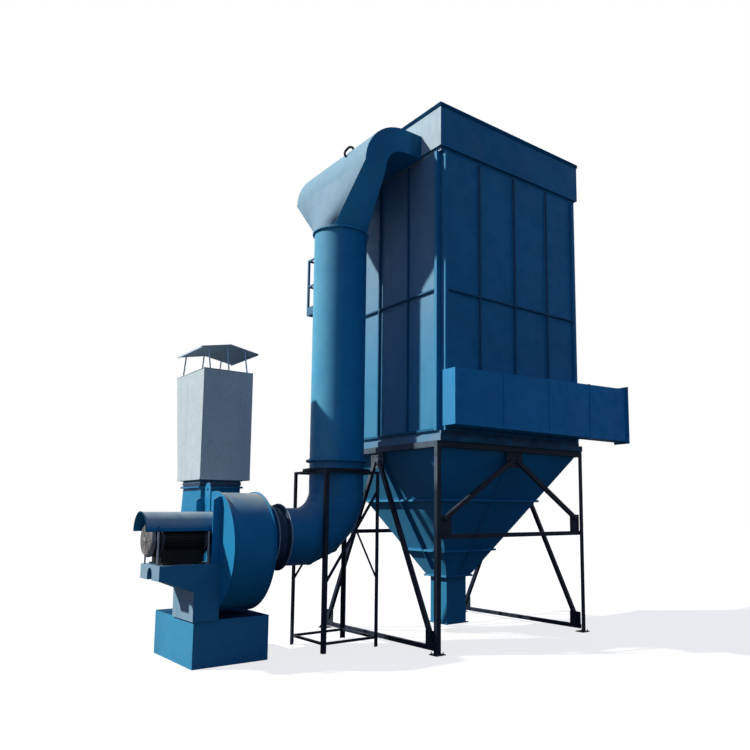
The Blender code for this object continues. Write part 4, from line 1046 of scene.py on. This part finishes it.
def frame_bolts():
    """Anchor bolts of the columns, bolts of the gussets and of the support ring."""
    anchor, out, stud_r, stud_h = 0.010, 0.052, 0.006, 0.018
    r, h, half = 0.009, 0.008, GUSSET_T / 2 + 0.0005
    ring_r, ring_bolts, ring_turn, ring_bolt = 0.425, 12, 0.2, 0.008
    leg_x = (-BEAM_OUT_X, HOUSING_X + BEAM_OUT_X)
    middle_x, middle_y, spread = HOUSING_X / 2, HOUSING_Y / 2, 0.10
    apex = (LEG_H - 0.17, LEG_H - 0.05)
    p = Piece()
    for ix, column_x in enumerate((leg_x[0] + LEG_W / 2, leg_x[1] - LEG_W / 2)):
        for iy, column_y in enumerate((LEG_W / 2, HOUSING_Y - LEG_W / 2)):
            for dx in (-out, out):
                for dy in (-out, out):
                    if (dx > 0) == (ix == 0) and (dy > 0) == (iy == 0):
                        continue
                    x, y = column_x + dx, column_y + dy
                    p.bolt((x, y, BASE_PLATE_T), UP, anchor, anchor)
                    p.turned((x, y, BASE_PLATE_T + 0.008), UP, ((0.0, stud_r), (stud_h, stud_r)), 8)
    for x, way in ((leg_x[0] + BRACE_IN - half, -1), (leg_x[1] - BRACE_IN + half, 1)):
        for y in (middle_y - spread, middle_y, middle_y + spread):
            for z in apex:
                p.bolt((x, y, z), (way, 0, 0), r, h)
        for y in (0.11, 0.20, HOUSING_Y - 0.20, HOUSING_Y - 0.11):
            for z in (0.10, 0.22):
                p.bolt((x, y, z), (way, 0, 0), r, h)
    for y, way in ((BRACE_IN - half, -1), (HOUSING_Y - BRACE_IN + half, 1)):
        for x in (middle_x - spread, middle_x, middle_x + spread):
            for z in apex:
                p.bolt((x, y, z), (0, way, 0), r, h)
        for x in (0.05, 0.14, HOUSING_X - 0.14, HOUSING_X - 0.05):
            for z in (STRUT_Z + 0.04, STRUT_Z + 0.21):
                p.bolt((x, y, z), (0, way, 0), r, h)
    ring_centre = (RISER_X, RISER_Y, STAND_TOP + GAP + SUPPORT_T)
    for point in ring_points(ring_centre, UP, ring_r, ring_bolts, ring_turn):
        p.bolt(point, UP, ring_bolt, ring_bolt)
    p.done("frame_bolts", M_STAND)


def stack_trim():
    """Base angle, folded seams and rim of the stack, and the rivets of the cap's front stays."""
    x0, x1, y0, y1 = STACK_XC - STACK_X / 2, STACK_XC + STACK_X / 2, STACK_Y0, STACK_Y0 + STACK_Y
    corners = ((x0, y0), (x1, y0), (x1, y1), (x0, y1))
    centre = Vector((STACK_XC, (y0 + y1) / 2))
    angle_z, angle_h, angle_t = STACK_Z + 0.026, 0.05, 0.006
    seam, rim, rim_z = 0.004, 0.006, STACK_TOP - 0.002
    p = Piece()
    for i, a in enumerate(corners):
        b = corners[(i + 1) % 4]
        out = (Vector((a[0] + b[0], a[1] + b[1])) / 2 - centre).normalized() * (angle_t / 2)
        start, end = (a[0] + out.x, a[1] + out.y, angle_z), (b[0] + out.x, b[1] + out.y, angle_z)
        p.bar(start, end, UP, angle_t, angle_h)
    for x in (x0, x1):
        p.tube([(x, y0, STACK_Z + 0.006), (x, y0, rim_z)], seam, 6)
    back = y0 + STACK_Y_TOP
    p.tube([(x0, y0, rim_z), (x1, y0, rim_z), (x1, back, rim_z), (x0, back, rim_z)], rim, closed=True)
    for share in (0.12, 0.5, 0.88):
        for down in (0.074, 0.034):
            place = (x0 + STACK_X * share, y0, STACK_TOP - down)
            p.turned(place, FRONT, ((0.0, 0.007), (0.003, 0.006), (0.005, 0.003)), 10)
    p.done("stack_trim", M_ZINC, smooth=SEAM_SMOOTH)


def cap_hems():
    """Hems along the rain cap's eaves and gables, and the seam on its ridge."""
    hem, seam = 0.0055, 0.006
    eave_z, gable_z, ridge_z, seam_z = CAP_Z + 0.002, CAP_Z + 0.016, CAP_Z + 0.091, CAP_Z + 0.094
    ridge = STACK_XC + CAP_SHIFT
    x0, x1 = ridge - CAP_X / 2, ridge + CAP_X / 2
    middle = STACK_Y0 + STACK_Y_TOP / 2
    y0, y1 = middle - CAP_Y / 2, middle + CAP_Y / 2
    p = Piece()
    for x in (x0 + 0.004, x1 - 0.004):
        p.tube([(x, y0, eave_z), (x, y1, eave_z)], hem)
    for y in (y0, y1):
        p.tube([(x0, y, gable_z), (ridge, y, ridge_z), (x1, y, gable_z)], hem)
    p.tube([(ridge, y0, seam_z), (ridge, y1, seam_z)], seam)
    p.done("cap_hems", M_CAP, smooth=SEAM_SMOOTH)


def platform_grating():
    """Bar grating and toe boards of the service platform."""
    bars, bar_pitch, bar_t = 24, 0.0315, 0.005
    cross, cross_pitch, cross_t = 19, 0.1435, 0.006
    bottom = PLATFORM_Z - 0.001
    board_z, board_top, board_t = PLATFORM_Z + GAP, PLATFORM_Z + 0.10, 0.002
    board_y0, board_y1 = HOUSING_Y + 0.05, Y_MAX - 0.0023
    p = Piece()
    for i in range(bars):
        y = HOUSING_Y + 0.07 + bar_pitch * i
        p.block(0.02, HOUSING_X - 0.02, y, y + bar_t, bottom, PLATFORM_Z + 0.013)
    for i in range(cross):
        x = 0.08 + cross_pitch * i
        p.block(x, x + cross_t, HOUSING_Y + 0.06, HOUSING_Y + 0.79, bottom, PLATFORM_Z + 0.010)
    p.block(0.0, HOUSING_X, board_y1, Y_MAX - 0.0001, board_z, board_top)
    p.block(-board_t, 0.0, board_y0, board_y1, board_z, board_top)
    p.block(HOUSING_X, HOUSING_X + board_t, board_y0, board_y1, board_z, board_top)
    p.done("platform_grating", M_PLATFORM)


def rib_welds():
    """Weld beads at the roots of the wall ribs."""
    bead, out, root = 0.0035, 0.001, RIB_W / 2 + 0.0015
    low, high = WALL_Z + 0.032, PLENUM_Z - 0.003
    p = Piece()
    for u in (0.25, 0.5, 0.75):
        for side in SIDES:
            x = HOUSING_X * u + side * root
            for y in (-out, HOUSING_Y + out):
                p.tube([(x, y, low), (x, y, high)], bead, 6)
            y = HOUSING_Y * u + side * root
            for x in (-out, HOUSING_X + out):
                p.tube([(x, y, low), (x, y, high)], bead, 6)
    p.done("rib_welds", M_WALL, smooth=SEAM_SMOOTH)


# The photograph's camera, fitted to its edges: place, turn, and the lens in pixels of a 750-pixel frame
EYE = Vector((-5.8164, -7.0266, 1.7781))
YAW = math.radians(39.238)
PITCH = math.radians(6.834)
ROLL = math.radians(0.105)
IMAGE = 750.0
FOCAL = 710.6
CENTRE_X = 436.24
CENTRE_Y = 426.3
SENSOR = 36.0

# Light and floor
SKY = (0.36, 0.53, 1.0)
SKY_STRENGTH = 0.36
SUN_COLOUR = (1.0, 0.97, 0.92)
SUN_ENERGY = 5.2
SUN_WIDTH = math.radians(2.0)
SUN_WAY = Vector((0.635, -0.457, -0.622))
WHITE = (1.0, 1.0, 1.0, 1.0)
FLOOR_HALF = 60.0
FLOOR_Z = -0.001
FLOOR_TONE = (0.25, 0.26, 0.27, 1.0)
FLOOR_GLOW = 0.78
FLOOR_BOUNCE = (0.08, 0.082, 0.085, 1.0)


def place_camera():
    cam = bpy.data.cameras.new("camera")
    obj = bpy.data.objects.new("camera", cam)
    bpy.context.collection.objects.link(obj)
    obj.location = EYE + SHIFT
    ahead = Vector((math.sin(YAW) * math.cos(PITCH), math.cos(YAW) * math.cos(PITCH), math.sin(PITCH)))
    level = Vector((math.cos(YAW), -math.sin(YAW), 0.0))
    above = level.cross(ahead)
    right = math.cos(ROLL) * level + math.sin(ROLL) * above
    up = -math.sin(ROLL) * level + math.cos(ROLL) * above
    obj.rotation_euler = Matrix((right, up, -ahead)).transposed().to_euler()
    cam.sensor_width = SENSOR
    cam.lens = FOCAL / IMAGE * SENSOR
    cam.shift_x = (IMAGE / 2 - CENTRE_X) / IMAGE
    cam.shift_y = (CENTRE_Y - IMAGE / 2) / IMAGE
    bpy.context.scene.camera = obj
    bpy.context.scene.view_settings.view_transform = "Standard"


def shader_choice(tree, factor, usual, special, end):
    """Mix of two shaders into the end node: the special one where the factor is 1."""
    choose = tree.nodes.new("ShaderNodeMixShader")
    for socket, value in zip(choose.inputs, (factor, usual.outputs[0], special.outputs[0])):
        tree.links.new(value, socket)
    tree.links.new(choose.outputs[0], tree.nodes[end].inputs[0])


def sky():
    """Blue fill light, seen as plain white by the camera, in gloss and through glass."""
    world = bpy.data.worlds.new("world")
    world.use_nodes = True
    tree = world.node_tree
    new, link = tree.nodes.new, tree.links.new
    fill = tree.nodes["Background"]
    fill.inputs[0].default_value = (*SKY, 1.0)
    fill.inputs[1].default_value = SKY_STRENGTH
    white = new("ShaderNodeBackground")
    white.inputs[0].default_value = WHITE
    path = new("ShaderNodeLightPath")
    seen = path.outputs["Is Camera Ray"]
    for ray in ("Is Transmission Ray", "Is Glossy Ray"):
        either = new("ShaderNodeMath")
        either.operation = "MAXIMUM"
        link(seen, either.inputs[0])
        link(path.outputs[ray], either.inputs[1])
        seen = either.outputs[0]
    shader_choice(tree, seen, fill, white, "World Output")
    bpy.context.scene.world = world


def sunlight():
    sun = bpy.data.lights.new("sun", "SUN")
    sun.energy = SUN_ENERGY
    sun.angle = SUN_WIDTH
    sun.color = SUN_COLOUR
    obj = bpy.data.objects.new("sun", sun)
    obj.rotation_euler = SUN_WAY.to_track_quat("-Z", "Y").to_euler()
    bpy.context.collection.objects.link(obj)


def pale_floor():
    """White to the camera apart from the shadow, and dim to the light that it throws back."""
    mat = bpy.data.materials.new("floor_pale")
    mat.use_nodes = True
    tree = mat.node_tree
    new, link = tree.nodes.new, tree.links.new
    shader = tree.nodes["Principled BSDF"]
    shader.inputs["Base Color"].default_value = FLOOR_TONE
    shader.inputs["Roughness"].default_value = 0.95
    shader.inputs["Specular IOR Level"].default_value = 0.0
    glow = new("ShaderNodeEmission")
    glow.inputs[0].default_value = WHITE
    glow.inputs[1].default_value = FLOOR_GLOW
    bright = new("ShaderNodeAddShader")
    link(shader.outputs[0], bright.inputs[0])
    link(glow.outputs[0], bright.inputs[1])
    dim = new("ShaderNodeBsdfDiffuse")
    dim.inputs[0].default_value = FLOOR_BOUNCE
    path = new("ShaderNodeLightPath")
    shader_choice(tree, path.outputs["Is Camera Ray"], dim, bright, "Material Output")
    return mat


def lay_floor():
    bm = bmesh.new()
    bmesh.ops.create_grid(bm, x_segments=1, y_segments=1, size=FLOOR_HALF)
    mesh = bpy.data.meshes.new("floor")
    bm.to_mesh(mesh)
    bm.free()
    mesh.materials.append(pale_floor())
    floor = bpy.data.objects.new("floor", mesh)
    floor.location.z = FLOOR_Z
    bpy.context.scene.collection.objects.link(floor)


dress_nodes()
duct_flange_bolts()
square_flange_bolts()
duct_welds()
hopper_welds()
scroll_welds()
motor_fins()
motor_end_rings()
cowl_grille()
motor_foot_pads()
motor_bolts()
cover_rims()
connector_folds()
flange_highlight_rings()
transition_plates()
stand_frame()
elbow_lug()
frame_bolts()
stack_trim()
cap_hems()
platform_grating()
rib_welds()
place_camera()
sky()
sunlight()
lay_floor()
